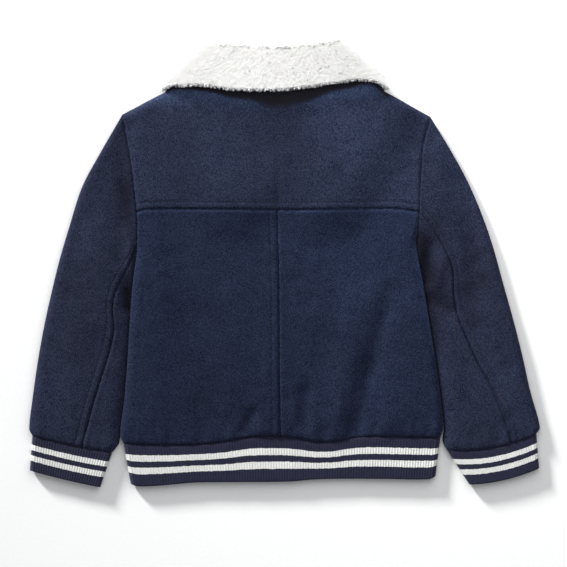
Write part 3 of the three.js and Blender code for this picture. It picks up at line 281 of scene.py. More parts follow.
FOLD_ROWS = 8
SEAM_ROWS = np.array([0, 0.35, 0.8, 1.4, 2.2, 3.4])
STITCHED_ROWS = np.array([0, 0.35, 0.8, 1.4, 2.2, 3.4, 5, 6.6, 7.6, 8.2, 8.6, 9.0, 9.6, 10.8])


def stations(length, count, start="seam", end="seam", radius=FOLD_RADIUS):
    """Distances along a run of cloth, closer together round a fold, at a seam or at topstitching."""

    def crowd(kind):
        if kind == "fold":
            reach = min(radius, 0.4 * length)
            return reach * (1 - np.cos(np.linspace(0, math.pi / 2, FOLD_ROWS + 1)))
        rows = {"seam": SEAM_ROWS, "stitched": STITCHED_ROWS}[kind]
        return rows * min(1, 0.4 * length / rows[-1])

    first, last = crowd(start), length - crowd(end)[::-1]
    count -= len(first) + len(last) - 2
    return np.concatenate([first[:-1], np.linspace(first[-1], last[0], count + 1), last[1:]])


def chain(corners, steps):
    """Points along a chain of corners, each stretch cut into its own number of equal steps."""
    points = [np.asarray(corners[0], float)[None]]
    for a, b, count in zip(corners, corners[1:], steps):
        points.append(mix(np.asarray(a, float), np.asarray(b, float), np.arange(1, count + 1) / count))
    return np.concatenate(points)


def plan_grid(top, bottom, left, right):
    """A plan grid between four edges. Rows run from the top edge to the bottom edge."""
    far = np.linalg.norm
    u = np.linspace(0, 1, len(top))[None]
    down = (far(left - left[0], axis=1) / far(left[-1] - left[0]))[:, None]
    down_right = (far(right - right[0], axis=1) / far(right[-1] - right[0]))[:, None]
    v = down + (down_right - down) * u
    across = (far(top - top[0], axis=1) / far(top[-1] - top[0]))[None]
    across_bottom = (far(bottom - bottom[0], axis=1) / far(bottom[-1] - bottom[0]))[None]
    w = across + (across_bottom - across) * v
    corners = mix(mix(top[0], top[-1], w), mix(bottom[0], bottom[-1], w), v)
    vertical = mix(top[None], bottom[None], v)
    horizontal = mix(left[:, None], right[:, None], w)
    return vertical + horizontal - corners


def distance_to_line(x, y, x1, y1, x2, y2):
    dx, dy = x2 - x1, y2 - y1
    t = np.clip(((x - x1) * dx + (y - y1) * dy) / (dx * dx + dy * dy), 0, 1)
    return np.hypot(x - x1 - t * dx, y - y1 - t * dy), t


# ---------------------------------------------------------------- collar plan
def collar_hinge(side):
    corner = COLLAR_SIDES[side]
    roll, edge = np.array(corner["roll"], float), np.array(corner["edge"], float)
    along = norm(edge - roll)
    outward = np.array([SIDES[side] * -along[1], abs(along[0])])
    roll, edge = roll - outward * COLLAR_MIDDLE, edge - outward * COLLAR_MIDDLE
    return dict(roll=roll, edge=edge, neck=roll + along * STAND_LENGTH, along=along, outward=outward)


HINGES = {side: collar_hinge(side) for side in SIDES}
COLLAR_PATCH = np.array([
    COLLAR_SIDES["left"]["edge"], COLLAR_SIDES["left"]["tip"], (CENTRE_X, NECK_POINT[1]),
    COLLAR_SIDES["right"]["tip"], COLLAR_SIDES["right"]["edge"], COLLAR_SIDES["right"]["roll"],
    COLLAR_SIDES["left"]["roll"],
], float)


def outside_collar(x, y):
    """Distance outside the outline of the collar's front half, which lifts what lies on it."""
    inside = np.zeros(np.shape(x), bool)
    nearest = np.full(np.shape(x), np.inf)
    for p, q in zip(COLLAR_PATCH, np.roll(COLLAR_PATCH, -1, axis=0)):
        crosses = (p[1] > y) != (q[1] > y)
        slope = (q[0] - p[0]) / (q[1] - p[1]) if q[1] != p[1] else 0
        inside ^= crosses & (x < p[0] + (y - p[1]) * slope)
        nearest = np.minimum(nearest, distance_to_line(x, y, *p, *q)[0])
    return np.where(inside, 0, nearest)


# ---------------------------------------------------------------- heights of the laid cloth
def collar_lift(x, y, ramp):
    return COLLAR_LIFT * (1 - smoothstep(outside_collar(x, y) - COLLAR_MARGIN, 0, ramp))


def ridges(x, y, table, unevenness=0.0):
    """The sum of a table's ridges and troughs. An uneven one changes its height and width as it runs."""
    height = np.zeros(np.shape(x))
    for i, (x1, y1, x2, y2, width, rise) in enumerate(table):
        distance, t = distance_to_line(x, y, x1, y1, x2, y2)
        swing = np.sin(7.3 * t + 1.7 * i) * 0.6 + np.sin(17.1 * t + 2.9 * i) * 0.4
        width = width * (1 + unevenness * 0.5 * swing)
        height += rise * (1 + unevenness * np.cos(5.1 * t + 2.3 * i)) * np.exp(-((distance / width) ** 2))
    return height


def fold_height(x, y):
    total = np.clip(ridges(x, y, FOLDS), DEEPEST_TROUGH, HIGHEST_RIDGE)
    return total * smoothstep(COLLAR_LOWEST_Y - y, 0, FOLD_FADE)


def front_height(x, y):
    return collar_lift(x, y, FRONT_RAMP)


def back_base(x, y):
    return LAID_HEIGHT + collar_lift(x, y, BACK_RAMP)


def turn(share):
    return np.arccos(1 - np.clip(share, 0, 1))


def clear_of_rib(to_rib):
    return np.sin(turn(to_rib / HEM_ROUND))


def cloth_thickness(to_rib):
    return RIB_CLOTH + (CLOTH - RIB_CLOTH) * clear_of_rib(to_rib)


def back_height(x, y, to_rib):
    free = back_base(x, y) + fold_height(x, y)
    return RIB_HEIGHT + (free - RIB_HEIGHT) * clear_of_rib(to_rib)


def waviness(x, y, seed=0.0):
    """A soft unevenness of the cloth, from -1 to 1, with waves from about 15 to 70 mm long."""
    a = np.sin(0.093 * x + 0.041 * y + 1.3 + seed) * np.sin(0.051 * y - 0.062 * x + 0.7 * seed)
    b = np.sin(0.171 * x - 0.103 * y + 2.1 + seed) * np.sin(0.143 * y + 0.081 * x + 4.2)
    c = np.sin(0.291 * x + 0.207 * y + 0.4) * np.sin(0.263 * y - 0.231 * x + 1.9 + seed)
    return 0.55 * a + 0.3 * b + 0.15 * c


def seam_roll(distance, along):
    """How the cloth turns down into a seam, with small puckers along it."""
    pucker = 0.8 + 0.25 * np.sin(along * 0.55) * np.sin(along * 0.13 + 1.0) + 0.15 * np.sin(along * 0.9)
    roll = -1.8 * np.exp(-((distance / 1.25) ** 2))
    swell = 0.32 * np.exp(-(((distance - 4.2) / 2.4) ** 2))
    return (roll + swell) * pucker


def stitch_groove(distance, along):
    """The groove that a row of topstitching pulls into the cloth."""
    pull = 0.75 + 0.3 * np.sin(along * 0.62 + 0.8) + 0.15 * np.sin(along * 1.31)
    return -0.5 * pull * np.exp(-(((distance - TOPSTITCH) / 0.95) ** 2))


def wall_points(plan, layer, angle, inward, thickness, outer, middle=None):
    """Outer and inner points of a wall. layer is 1 for the back and -1 for the front."""
    if middle is None:
        middle = (front_height(*np.moveaxis(plan, -1, 0)) + back_base(*np.moveaxis(plan, -1, 0))) / 2
    z = middle + (outer - middle) * np.sin(angle)
    flat = thickness * np.cos(angle)
    outside = np.concatenate([plan, z[..., None]], axis=-1)
    inside = np.concatenate([
        plan + inward * flat[..., None],
        (z - layer * thickness * np.sin(angle))[..., None],
    ], axis=-1)
    return outside, inside


def draw_back(grid, gap=SEAM_GAP):
    """Moves each edge of a grid half a seam gap back from its neighbour."""
    move = np.zeros_like(grid)
    move[0] += norm(grid[1] - grid[0]) * gap / 2
    move[-1] += norm(grid[-2] - grid[-1]) * gap / 2
    move[:, 0] += norm(grid[:, 1] - grid[:, 0]) * gap / 2
    move[:, -1] += norm(grid[:, -2] - grid[:, -1]) * gap / 2
    return grid + move


# ---------------------------------------------------------------- meshes
def new_object(name, data):
    thing = bpy.data.objects.new(name, data)
    bpy.context.collection.objects.link(thing)
    return thing


def make_mesh(name, points, quads, material, uv=None, ends=()):
    """A smooth mesh piece that rides on the jacket. points are millimetres, ends its end faces."""
    mesh = bpy.data.meshes.new(name)
    corners = np.concatenate([np.ravel(quads), *ends]).astype(np.int32)
    sizes = np.array([4] * len(quads) + [len(end) for end in ends], np.int32)
    mesh.vertices.add(len(points))
    mesh.vertices.foreach_set("co", (points * MM).ravel())
    mesh.loops.add(len(corners))
    mesh.loops.foreach_set("vertex_index", corners)
    mesh.polygons.add(len(sizes))
    mesh.polygons.foreach_set("loop_start", np.concatenate([[0], np.cumsum(sizes)[:-1]]).astype(np.int32))
    mesh.polygons.foreach_set("use_smooth", np.ones(len(sizes), bool))
    if uv is not None:
        mesh.uv_layers.new(name="cloth").data.foreach_set("uv", uv[corners].ravel())
    mesh.update(calc_edges=True)
    shape = bmesh.new()
    shape.from_mesh(mesh)
    bmesh.ops.recalc_face_normals(shape, faces=shape.faces)
    shape.to_mesh(mesh)
    shape.free()
    piece = new_object(name, mesh)
    mesh.materials.append(material)
    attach(piece, "root")
    return piece


def grid_quads(numbers):
    a, b, c, d = numbers[:-1, :-1], numbers[:-1, 1:], numbers[1:, 1:], numbers[1:, :-1]
    return np.stack([a, b, c, d], axis=-1).reshape(-1, 4)


def wall_mesh(outer, inner):
    """Points and quads of one closed wall between a grid of outer and a grid of inner points."""
    rows, columns = outer.shape[:2]
    out = np.arange(rows * columns).reshape(rows, columns)
    inn = out + rows * columns
    quads = [grid_quads(out), grid_quads(inn)[:, ::-1]]
    for edge in (0, -1):
        quads.append(grid_quads(np.stack([out[edge], inn[edge]]))[:, ::-1 if edge == 0 else 1])
        quads.append(grid_quads(np.stack([out[:, edge], inn[:, edge]], axis=1))[:, ::-1 if edge else 1])
    return np.concatenate([outer.reshape(-1, 3), inner.reshape(-1, 3)]), np.concatenate(quads)


COLLAR_SHADE_TOP = 215
# how far and how deeply painted shade darkens the sleeve where the body lies against it
BESIDE_BODY = {"left": (3.6, 0.5), "right": (9, 0.66)}
CUFF_FROM_Y = -95  # towards the cuffs the shade is narrower
EDGE_HIGHLIGHT = 4.2  # how far painted light reaches along the body's right edge, which lies free over the sleeve
CUFF_SHADE = 3.6  # how far the painted shade beside the body reaches at a cuff
SEAM_SHADE = 1.3  # how far painted shade darkens the wool beside a sleeve's seam
SEAM_FADE = {"left": 1, "right": 0.35}  # how much of the seam's line shows where it leaves the armhole


def seam_share(side, at):
    """How much of a sleeve seam's line shows: it starts as a soft fold at the armhole."""
    return mix(SEAM_FADE[side], 1, smoothstep(at, 0.1, 0.26))


def under_collar_shade(x, y):
    """How far a point of the back lies in the turned collar's shade, from 0 to 1."""
    border, softness = (np.interp(x, COLLAR_SHADE[:, 0], COLLAR_SHADE[:, column]) for column in (1, 2))
    return smoothstep((y - border) / softness, -1, 1) * (y < COLLAR_SHADE_TOP)


def painted_wool_tone(name, points):
    """Painted light and shade on the wool at each point, 1 where there is none."""
    x, y = points[:, 0], points[:, 1]
    if name.startswith("sleeve"):
        side = name.rsplit("_", 1)[1]
        width, depth = BESIDE_BODY[side]
        width = CUFF_SHADE + (width - CUFF_SHADE) * smoothstep(y - CUFF_FROM_Y, -15, 15)
        beside = np.abs(x - body_edge_x[side](y)) / width
        # painted shade where the body lies against the sleeve, and along the sleeve's seam
        shaded = depth * np.exp(-(beside**2)) * smoothstep(UNDERARM_Y[side] - y, -25, 10)
        places = np.linspace(0, 1, 60)
        line = np.array([sleeve_section(side, at)["seam"] for at in places])
        seam = 0.45 * np.max([
            seam_share(side, at) * np.exp(-((distance_to_line(x, y, *p, *q)[0] / SEAM_SHADE) ** 2))
            for at, p, q in zip(places, line, line[1:])
        ], axis=0)
        return np.maximum(SLEEVE_PAINTED_TONE + ridges(x, y, SLEEVE_PAINTED_LIGHT), 0.25) * (1 - shaded) * (1 - seam)
    # painted shade under the collar, and painted light in the collar's cast shadow below it
    depth, lighter = (np.interp(x, COLLAR_SHADE[:, 0], COLLAR_SHADE[:, column]) for column in (3, 4))
    under = under_collar_shade(x, y)
    lighter = lighter * smoothstep(y - collar_edge_y(x), -30, -12) * (y < COLLAR_SHADE_TOP)
    # painted light along the body's right edge, where it lies free over the sleeve
    free = 1.4 * np.exp(-(((x - body_edge_x["right"](y)) / EDGE_HIGHLIGHT) ** 2)) * (name == "back_right")
    free *= smoothstep(y - CUFF_FROM_Y, -15, 15) * smoothstep(UNDERARM_Y["right"] - y, 0, 15)
    return (1 + ridges(x, y, BODY_PAINTED_LIGHT)) * (1 + lighter) * (1 - depth * under) * (1 + free)


def keep_values(piece, name, values):
    """Keeps a value at each point of a piece: painted_light_and_shade is how much painted light or painted
    shade lightens or darkens its wool or pile there.
    """
    piece.data.attributes.new(name, "FLOAT", "POINT").data.foreach_set("value", values)


def add_wall(name, outer, inner, material, slot, uv=None, gap=SEAM_GAP):
    points, quads = wall_mesh(draw_back(outer, gap), draw_back(inner, gap))
    if uv is None:
        uv = outer[..., :2] * MM
    uv = np.concatenate([uv.reshape(-1, 2)] * 2)
    piece = make_mesh(f"{name}_cloth", points, quads, material, uv)
    if slot == "wool":
        keep_values(piece, "painted_light_and_shade", painted_wool_tone(name, points))
        if name == "back_yoke":
            keep_values(piece, "collar_shade", under_collar_shade(points[:, 0], points[:, 1]))
    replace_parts(piece, name)
    return piece


# ---------------------------------------------------------------- body panels
SHOULDER = {"left": body_edge("left", 164.5), "right": body_edge("right", 162)}
UNDERARM_Y = {"left": 13, "right": 26}
HEM_CORNER = {"left": body_edge("left", -197), "right": body_edge("right", -190.8)}
INSIDE_COLLAR = {"edge": 7.2, "neck": 5}
SHOULDER_PLAN = {
    side: dict(
        collar=hinge["edge"] + hinge["outward"] * INSIDE_COLLAR["edge"],
        neck=hinge["neck"] + hinge["outward"] * INSIDE_COLLAR["neck"],
        hinge=hinge["neck"],
    )
    for side, hinge in HINGES.items()
}
YOKE_SEAM_END = 58.8
CENTRE_TOP = np.array([centre_back_x(61.2), 61.2])
CENTRE_HEM = np.array([centre_back_x(-189.4), -189.4])


def shoulder_line(side, count, neck_steps):
    plan = SHOULDER_PLAN[side]
    start = SHOULDER[side]
    length = np.linalg.norm(plan["collar"] - start)
    outer = mix(start, plan["collar"], stations(length, count, "fold", "seam") / length)
    inner = chain([plan["collar"], plan["neck"], plan["hinge"]], [neck_steps, 2])
    return np.concatenate([outer, inner[1:]])


def body_turn(side, plan, from_top, neck_distance):
    """The angle round the nearest fold, and the plan direction away from it."""
    edge = np.abs(plan[..., 0] - body_edge_x[side](plan[..., 1]))
    above_underarm = np.maximum(plan[..., 1] - UNDERARM_Y[side], 0)
    side_share = edge / FOLD_RADIUS + above_underarm / UNDERARM_REACH
    top_share = from_top / SHOULDER_RADIUS + neck_distance / NECK_REACH
    at_side = side_share < top_share
    inward = np.where(at_side[..., None], (-SIDES[side], 0.0), (0.0, -1.0))
    return turn(np.where(at_side, side_share, top_share)), inward


def along_neck(side, top):
    plan = SHOULDER_PLAN[side]
    on_shoulder = (top[:, 0] - plan["neck"][0]) * SIDES[side] >= -1e-6
    to_neck = np.linalg.norm(top - plan["neck"], axis=1)
    to_hinge = INSIDE_COLLAR["neck"] + np.linalg.norm(top - plan["hinge"], axis=1)
    return np.where(on_shoulder, 0, np.minimum(to_neck, to_hinge))


def body_angles(grid, side, from_shoulder):
    top = grid[0]
    from_top = np.linalg.norm(grid - top, axis=-1) if from_shoulder else np.full(grid.shape[:2], np.inf)
    if side:
        return body_turn(side, grid, from_top, along_neck(side, top)[None])
    angle_l, inward_l = body_turn("left", grid, from_top, along_neck("left", top)[None])
    angle_r, inward_r = body_turn("right", grid, from_top, along_neck("right", top)[None])
    left = grid[..., 0] < CENTRE_X
    return np.where(left, angle_l, angle_r), np.where(left[..., None], inward_l, inward_r)


def back_surface(x, y, to_rib):
    """Height of the back's outer skin with its creases, but for its seams."""
    soft = ridges(x, y, BACK_CREASES, 0.5) + 0.4 * waviness(x, y)
    soft = soft * smoothstep(COLLAR_LOWEST_Y - y, 0, FOLD_FADE) * clear_of_rib(to_rib)
    return back_height(x, y, to_rib) + soft + blousing(x, to_rib)


def blousing(x, to_rib):
    """Small gathers where the wool is sewn to the ribs."""
    wave = np.sin(x * 0.42 + 1.4 * np.sin(x * 0.09)) * 0.5 + np.sin(x * 0.23 + 0.8) * 0.5
    return 0.5 * wave * np.exp(-(((to_rib - 9) / 9) ** 2))


def hem_roll(to_rib, x):
    return -1.1 * np.exp(-((to_rib / 1.3) ** 2)) * (0.85 + 0.15 * np.sin(0.8 * x))


def add_back_yoke():
    left, right = shoulder_line("left", 44, 12), shoulder_line("right", 44, 12)
    neck = chain([left[-1], right[-1]], [74])
    top = np.concatenate([left, neck[1:-1], right[::-1]])
    ends = {side: body_edge(side, YOKE_SEAM_END) for side in SIDES}
    width = ends["right"][0] - ends["left"][0]
    xs = ends["left"][0] + stations(width, len(top) - 1, "fold", "fold")
    bottom = np.stack([xs, yoke_seam_y(xs)], axis=-1)

    def side_edge(side):
        length = SHOULDER[side][1] - YOKE_SEAM_END
        return body_edge(side, SHOULDER[side][1] - stations(length, 72, "fold", "stitched", SHOULDER_RADIUS))

    grid = plan_grid(top, bottom, side_edge("left"), side_edge("right"))
    x, y = np.moveaxis(grid, -1, 0)
    angle, inward = body_angles(grid, None, True)
    from_seam = y - yoke_seam_y(x)
    armhole = np.minimum(x - body_edge_x["left"](y), body_edge_x["right"](y) - x)
    outer = back_surface(x, y, np.full(x.shape, 100.0))
    outer += seam_roll(from_seam, x) + stitch_groove(from_seam, x) + seam_roll(armhole, y)
    thickness = np.full(x.shape, float(CLOTH))
    add_wall("back_yoke", *wall_points(grid, 1, angle, inward, thickness, outer), WOOL, "wool")


def add_back_panel(side):
    stitched = side == "left"
    side_top, corner = body_edge(side, YOKE_SEAM_END), HEM_CORNER[side]
    centre_end = "stitched" if stitched else "seam"

    def seam_points(start, end, seam_y):
        width = end[0] - start[0]
        xs = start[0] + np.sign(width) * stations(abs(width), 88, "fold", centre_end)
        return np.stack([xs, seam_y(xs)], axis=-1)

    top = seam_points(side_top, CENTRE_TOP, yoke_seam_y)
    bottom = seam_points(corner, CENTRE_HEM, hem_seam_y)
    length = side_top[1] - corner[1]
    rows = stations(length, 122, "seam", "fold", HEM_ROUND)
    ys = CENTRE_TOP[1] - rows / length * (CENTRE_TOP[1] - CENTRE_HEM[1])
    centre = np.stack([centre_back_x(ys), ys], axis=-1)
    grid = plan_grid(top, bottom, body_edge(side, side_top[1] - rows), centre)
    x, y = np.moveaxis(grid, -1, 0)
    angle, inward = body_angles(grid, side, False)
    to_rib = np.maximum(y - hem_seam_y(x), 0)
    outer = back_surface(x, y, to_rib) + hem_roll(to_rib, x)
    from_centre = np.abs(x - centre_back_x(y))
    outer += seam_roll(yoke_seam_y(x) - y, x) + seam_roll(from_centre, y)
    if stitched:
        outer += stitch_groove(from_centre, y)
    above_underarm = y > UNDERARM_Y[side]
    outer += np.where(above_underarm, seam_roll(np.abs(x - body_edge_x[side](y)), y), 0)
    walls = wall_points(grid, 1, angle, inward, cloth_thickness(to_rib), outer)
    add_wall(f"back_{side}", *walls, SHADED_BACK_WOOL, "wool")


def overlap_lift(x):
    return 1 - smoothstep(x - CENTRE_X - FRONT_OVERLAP - OVERLAP_CLEAR, 0, OVERLAP_RAMP)


def front_neckline(side, steps):
    start = HINGES[side]["neck"]
    end = np.array([CENTRE_X + SIDES[side] * NECK_POINT[0], NECK_POINT[1]], float)
    scoop = norm(np.array([SIDES[side] * (start[1] - end[1]), -abs(start[0] - end[0])]))
    share = np.arange(steps + 1) / steps
    return mix(start, end, share) + scoop * (NECKLINE_BOW * np.sin(math.pi * share))[:, None]


def front_surface(x, y):
    """Height of a front's outer skin: soft wrinkles that lift off the surface it lies on."""
    lifted = np.maximum(0.9 * waviness(x, y, 2.4) - 0.25, 0) * 1.2
    return front_height(x, y) + lifted


def add_front(side):
    sign = SIDES[side]
    neckline = front_neckline(side, 40)
    corner = np.array([CENTRE_X - sign * FRONT_OVERLAP, NECK_POINT[1] - 2], float)
    top = np.concatenate([
        shoulder_line(side, 30, 8), neckline[1:], chain([neckline[-1], corner], [8])[1:],
    ])
    hem_corner = HEM_CORNER[side]
    width = abs(corner[0] - hem_corner[0])
    xs = hem_corner[0] - sign * stations(width, len(top) - 1, "fold", "seam")
    bottom = np.stack([xs, hem_seam_y(xs)], axis=-1)
    length = SHOULDER[side][1] - hem_corner[1]
    rows = stations(length, 120, "fold", "seam", SHOULDER_RADIUS)
    edge = body_edge(side, SHOULDER[side][1] - rows)
    opening = mix(corner, bottom[-1], rows / length)
    grid = plan_grid(top, bottom, edge, opening)
    x, y = np.moveaxis(grid, -1, 0)
    angle, inward = body_angles(grid, side, True)
    thickness = cloth_thickness(np.maximum(y - hem_seam_y(x), 0))
    outer = front_surface(x, y)
    if side == "right":
        outer = outer + overlap_lift(x) * (thickness + OVERLAP_GAP)
    add_wall(f"front_{side}", *wall_points(grid, -1, angle, inward, thickness, outer), WOOL, "wool")


# ---------------------------------------------------------------- sleeves
FRONT_SEAM_SHARE = 0.78
ARMHOLE_SHARE = 0.3
SEAM_SAG_FROM = 0.7
SLEEVE_TURN_LENGTH = 0.15
BESIDE_DIP, DIP_WIDTH = 3.2, 10  # how the sleeve sinks beside the body
SLEEVE_NESTLES = 0.95  # the soft sleeve lies this much closer to the body than its solid
SLEEVE_ROWS = stations(SLEEVE_LENGTH, 128, "seam", "fold", HEM_ROUND) / SLEEVE_LENGTH


def sag(share, depth):
    return depth * 4 * share * (1 - share)


def sleeve_section(side, at):
    rows = SLEEVE_SECTIONS[side]
    outer_x, outer_y, seam_x, seam_y, inner_y, gap = (
        curve(rows[:, 0], rows[:, column])(at) for column in range(1, 7)
    )
    outer, seam = np.array([outer_x, outer_y]), np.array([seam_x, seam_y])
    gap = max(gap - SLEEVE_NESTLES, ARMHOLE_GAP)
    inner = np.array([body_edge_x[side](inner_y) + SIDES[side] * gap, inner_y])
    return dict(outer=outer, seam=seam, inner=inner, front_seam=mix(outer, inner, FRONT_SEAM_SHARE))


def sleeve_run(side, layer, start, end, at, count, seam_kind):
    """Outer and inner points of one row of a sleeve, between two of its lengthwise lines."""
    section, armhole = sleeve_section(side, at), sleeve_section(side, 0)
    length = np.linalg.norm(section[end] - section[start])
    kinds = ["fold" if line in ("outer", "inner") else seam_kind for line in (start, end)]
    share = stations(length, count, *kinds) / length
    plan = mix(section[start], section[end], share)
    chord = mix(armhole[start], armhole[end], share)
    seam_x = body_edge_x[side](chord[:, 1]) + SIDES[side] * ARMHOLE_GAP
    plan[:, 0] += (seam_x - chord[:, 0]) * (1 - smoothstep(at, 0, ARMHOLE_SHARE))
    span = np.linalg.norm(section["inner"] - section["outer"])
    across = np.linalg.norm(plan - section["outer"], axis=1) / span
    plan[:, 1] -= sag(across, CUFFS[side]["seam_sag"]) * smoothstep(at, SEAM_SAG_FROM, 1)
    inner_reach = UNDERARM_REACH + (FOLD_RADIUS - UNDERARM_REACH) * smoothstep(at, 0, SLEEVE_TURN_LENGTH)
    outer_share = np.linalg.norm(plan - section["outer"], axis=1) / FOLD_RADIUS
    inner_share = np.linalg.norm(plan - section["inner"], axis=1) / inner_reach
    toward = section["seam" if layer > 0 else "front_seam"]
    from_outer, from_inner = norm(toward - section["outer"]), norm(toward - section["inner"])
    inward = np.where((outer_share < inner_share)[:, None], from_outer, from_inner)
    x, y = plan.T
    to_rib = np.full(x.shape, (1 - at) * SLEEVE_LENGTH)
    if layer > 0:
        soft = ridges(x, y, SLEEVE_CREASES, 0.5)
        soft += 0.4 * waviness(x, y, 5.1)
        beside = np.abs(x - body_edge_x[side](y)) / DIP_WIDTH
        soft -= BESIDE_DIP * np.exp(-(beside**2)) * smoothstep(UNDERARM_Y[side] - y, 0, 30)
        outer = back_height(x, y, to_rib) + soft * clear_of_rib(to_rib) + blousing(x, to_rib)
        outer += hem_roll(to_rib, x) + seam_roll(at * SLEEVE_LENGTH, y)
        if "seam" in (start, end):
            from_seam = (1 - share if end == "seam" else share) * length
            outer += seam_share(side, at) * seam_roll(from_seam, at * SLEEVE_LENGTH)
            if seam_kind == "stitched":
                outer += stitch_groove(from_seam, at * SLEEVE_LENGTH)
    else:
        outer = front_surface(x, y)
    angle = turn(np.minimum(outer_share, inner_share))
    return wall_points(plan, layer, angle, inward, cloth_thickness(to_rib), outer)


def add_sleeve_piece(name, side, runs):
    rows = []
    for at in SLEEVE_ROWS:
        parts = [sleeve_run(side, *run[:3], at, *run[3:]) for run in runs]
        rows.append([
            np.concatenate([part[layer][1 if i else 0:] for i, part in enumerate(parts)])
            for layer in (0, 1)
        ])
    outer, inner = (np.array([row[layer] for row in rows]) for layer in (0, 1))
    add_wall(name, outer, inner, WOOL, "wool")


def add_sleeve(side):
    add_sleeve_piece(f"sleeve_top_{side}", side, [
        (-1, "front_seam", "outer", 40, "seam"), (1, "outer", "seam", 58, "stitched"),
    ])
    add_sleeve_piece(f"sleeve_under_{side}", side, [
        (1, "seam", "inner", 36, "seam"), (-1, "inner", "front_seam", 22, "seam"),
    ])


# ---------------------------------------------------------------- ribs
RIB_EDGE_ROUND = 0.6
RIB_STEP = 0.375  # eight points to a rib
RIB_DOWN = np.array([0, 0.012, 0.03, 0.06, 0.1, 0.15, 0.2, 0.27, 0.34, 0.41, 0.48, 0.55, 0.62, 0.69, 0.76,
                     0.83, 0.89, 0.93, 0.96, 0.98, 0.99, 1])
KNIT_DEPTH = 50.0  # the stated depth of a band in its own coordinates
STRIPES = (0.25, 0.4, 0.545, 0.7)  # edges of the two white stripes, as shares of a band's depth


def band_stations(width, step, fold_at_start, fold_at_end):
    """Places across a flat band, evenly spaced round its folds: share of its width, turn and arc."""
    flat = width - RIB_FOLD_RADIUS * (fold_at_start + fold_at_end)
    arc = flat + RIB_FOLD_ARC * (fold_at_start + fold_at_end)
    count = 2 * round(arc / step / 2)
    along = arc * np.arange(count + 1) / count
    from_start = along if fold_at_start else np.full(count + 1, np.inf)
    from_end = arc - along if fold_at_end else np.full(count + 1, np.inf)
    nearest = np.minimum(from_start, from_end)
    angle = np.minimum(nearest / RIB_FOLD_ARC, 1) * math.pi / 2
    past = np.where(np.isinf(nearest), 0, np.maximum(nearest - RIB_FOLD_ARC, 0))
    turned = RIB_FOLD_RADIUS * (1 - np.cos(angle))
    distance = np.where(nearest < RIB_FOLD_ARC, turned, RIB_FOLD_RADIUS + past)
    share = np.where(from_start <= from_end, distance, width - distance) / width
    if not (fold_at_start or fold_at_end):
        share = np.arange(count + 1) / count
    return share, angle, along


def rib_layer(plan, width, layer, start, end, arc_from, lift=None):
    """Outer and inner points and the cloth's own coordinates for one layer of a rib band."""
    reach = abs(end - start)
    share, angle, along = band_stations(width * reach, RIB_STEP, start in (0, 1), end in (0, 1))
    across = start + (end - start) * share
    arc = arc_from + along
    relief = RIB_RELIEF * (0.5 - 0.5 * np.cos(2 * math.pi * arc / RIB_PITCH))
    rows_out, rows_in, rows_uv = [], [], []
    for down in RIB_DOWN:
        point = plan(across, down)
        inward = norm(plan(np.full(across.shape, 0.5), down) - point)
        rounded = RIB_EDGE_ROUND * smoothstep(down, 0.955, 1)
        pinched = 0.5 * (1 - smoothstep(down, 0, 0.06))
        if layer > 0:
            swell = 0.35 * waviness(point[:, 0], point[:, 1], 3.3) * smoothstep(down, 0, 0.2)
            outer = RIB_HEIGHT - rounded - pinched + swell
        else:
            lifted = 0 if lift is None else lift(point[:, 0])
            outer = lifted + rounded / 2 + np.zeros(len(point))
        thickness = np.full(len(point), RIB_CLOTH - 2 * rounded)
        middle = RIB_HEIGHT / 2
        outside, inside = wall_points(point, layer, angle, inward, thickness, outer, middle)
        depth = (relief * (1 - 0.35 * (rounded / RIB_EDGE_ROUND)) / RIB_CLOTH)[:, None]
        rows_out.append(outside + (inside - outside) * depth)
        rows_in.append(inside)
        rows_uv.append(np.stack([arc, np.full(len(point), down * KNIT_DEPTH)], axis=-1) * MM)
    return np.array(rows_out), np.array(rows_in), np.array(rows_uv), arc[-1]


def add_rib_band(name, runs):
    arc, layers = 0.0, []
    for run in runs:
        outer, inner, uv, arc = rib_layer(**run, arc_from=arc)
        layers.append((outer, inner, uv))
    joined = [
        np.concatenate([layer[k][:, 1 if i else 0:] for i, layer in enumerate(layers)], axis=1)
        for k in range(3)
    ]
    add_wall(name, joined[0], joined[1], RIB, "rib_knit", joined[2], RIB_SEAM_GAP)


def add_hem_rib():
    seam_ends = (HEM_CORNER["left"][0], HEM_CORNER["right"][0])
    free_ends = (HEM_BOTTOM[0, 0], HEM_BOTTOM[-1, 0])
    width = seam_ends[1] - seam_ends[0]

    def plan(share, down):
        seam_x = seam_ends[0] + width * share
        free_x = free_ends[0] + (free_ends[1] - free_ends[0]) * share
        seam = np.stack([seam_x, hem_seam_y(seam_x)], axis=-1)
        free = np.stack([free_x, hem_bottom_y(free_x)], axis=-1)
        return seam + (free - seam) * down

    left_end = (CENTRE_X + FRONT_OVERLAP - seam_ends[0]) / width
    right_end = (CENTRE_X - FRONT_OVERLAP - seam_ends[0]) / width
    common = dict(plan=plan, width=width)
    add_rib_band("hem_rib", [
        dict(common, layer=-1, start=left_end, end=0),
        dict(common, layer=1, start=0, end=1),
        dict(common, layer=-1, start=1, end=right_end,
             lift=lambda x: overlap_lift(x) * (RIB_CLOTH + OVERLAP_GAP)),
    ])


CUFF_JOIN = 0.86


def add_cuff(side):
    section, free = sleeve_section(side, 1), CUFFS[side]
    outer, inner = section["outer"], section["inner"]
    free_outer, free_inner = np.array(free["outer"], float), np.array(free["inner"], float)

    def plan(share, down):
        seam, edge = mix(outer, inner, share), mix(free_outer, free_inner, share)
        seam[:, 1] -= sag(share, free["seam_sag"])
        edge[:, 1] -= sag(share, free["sag"])
        return seam + (edge - seam) * down

    width = np.linalg.norm(outer - inner)
    common = dict(plan=plan, width=width)
    add_rib_band(f"cuff_{side}", [
        dict(common, layer=-1, start=CUFF_JOIN, end=0),
        dict(common, layer=1, start=0, end=1),
        dict(common, layer=-1, start=1, end=CUFF_JOIN),
    ])


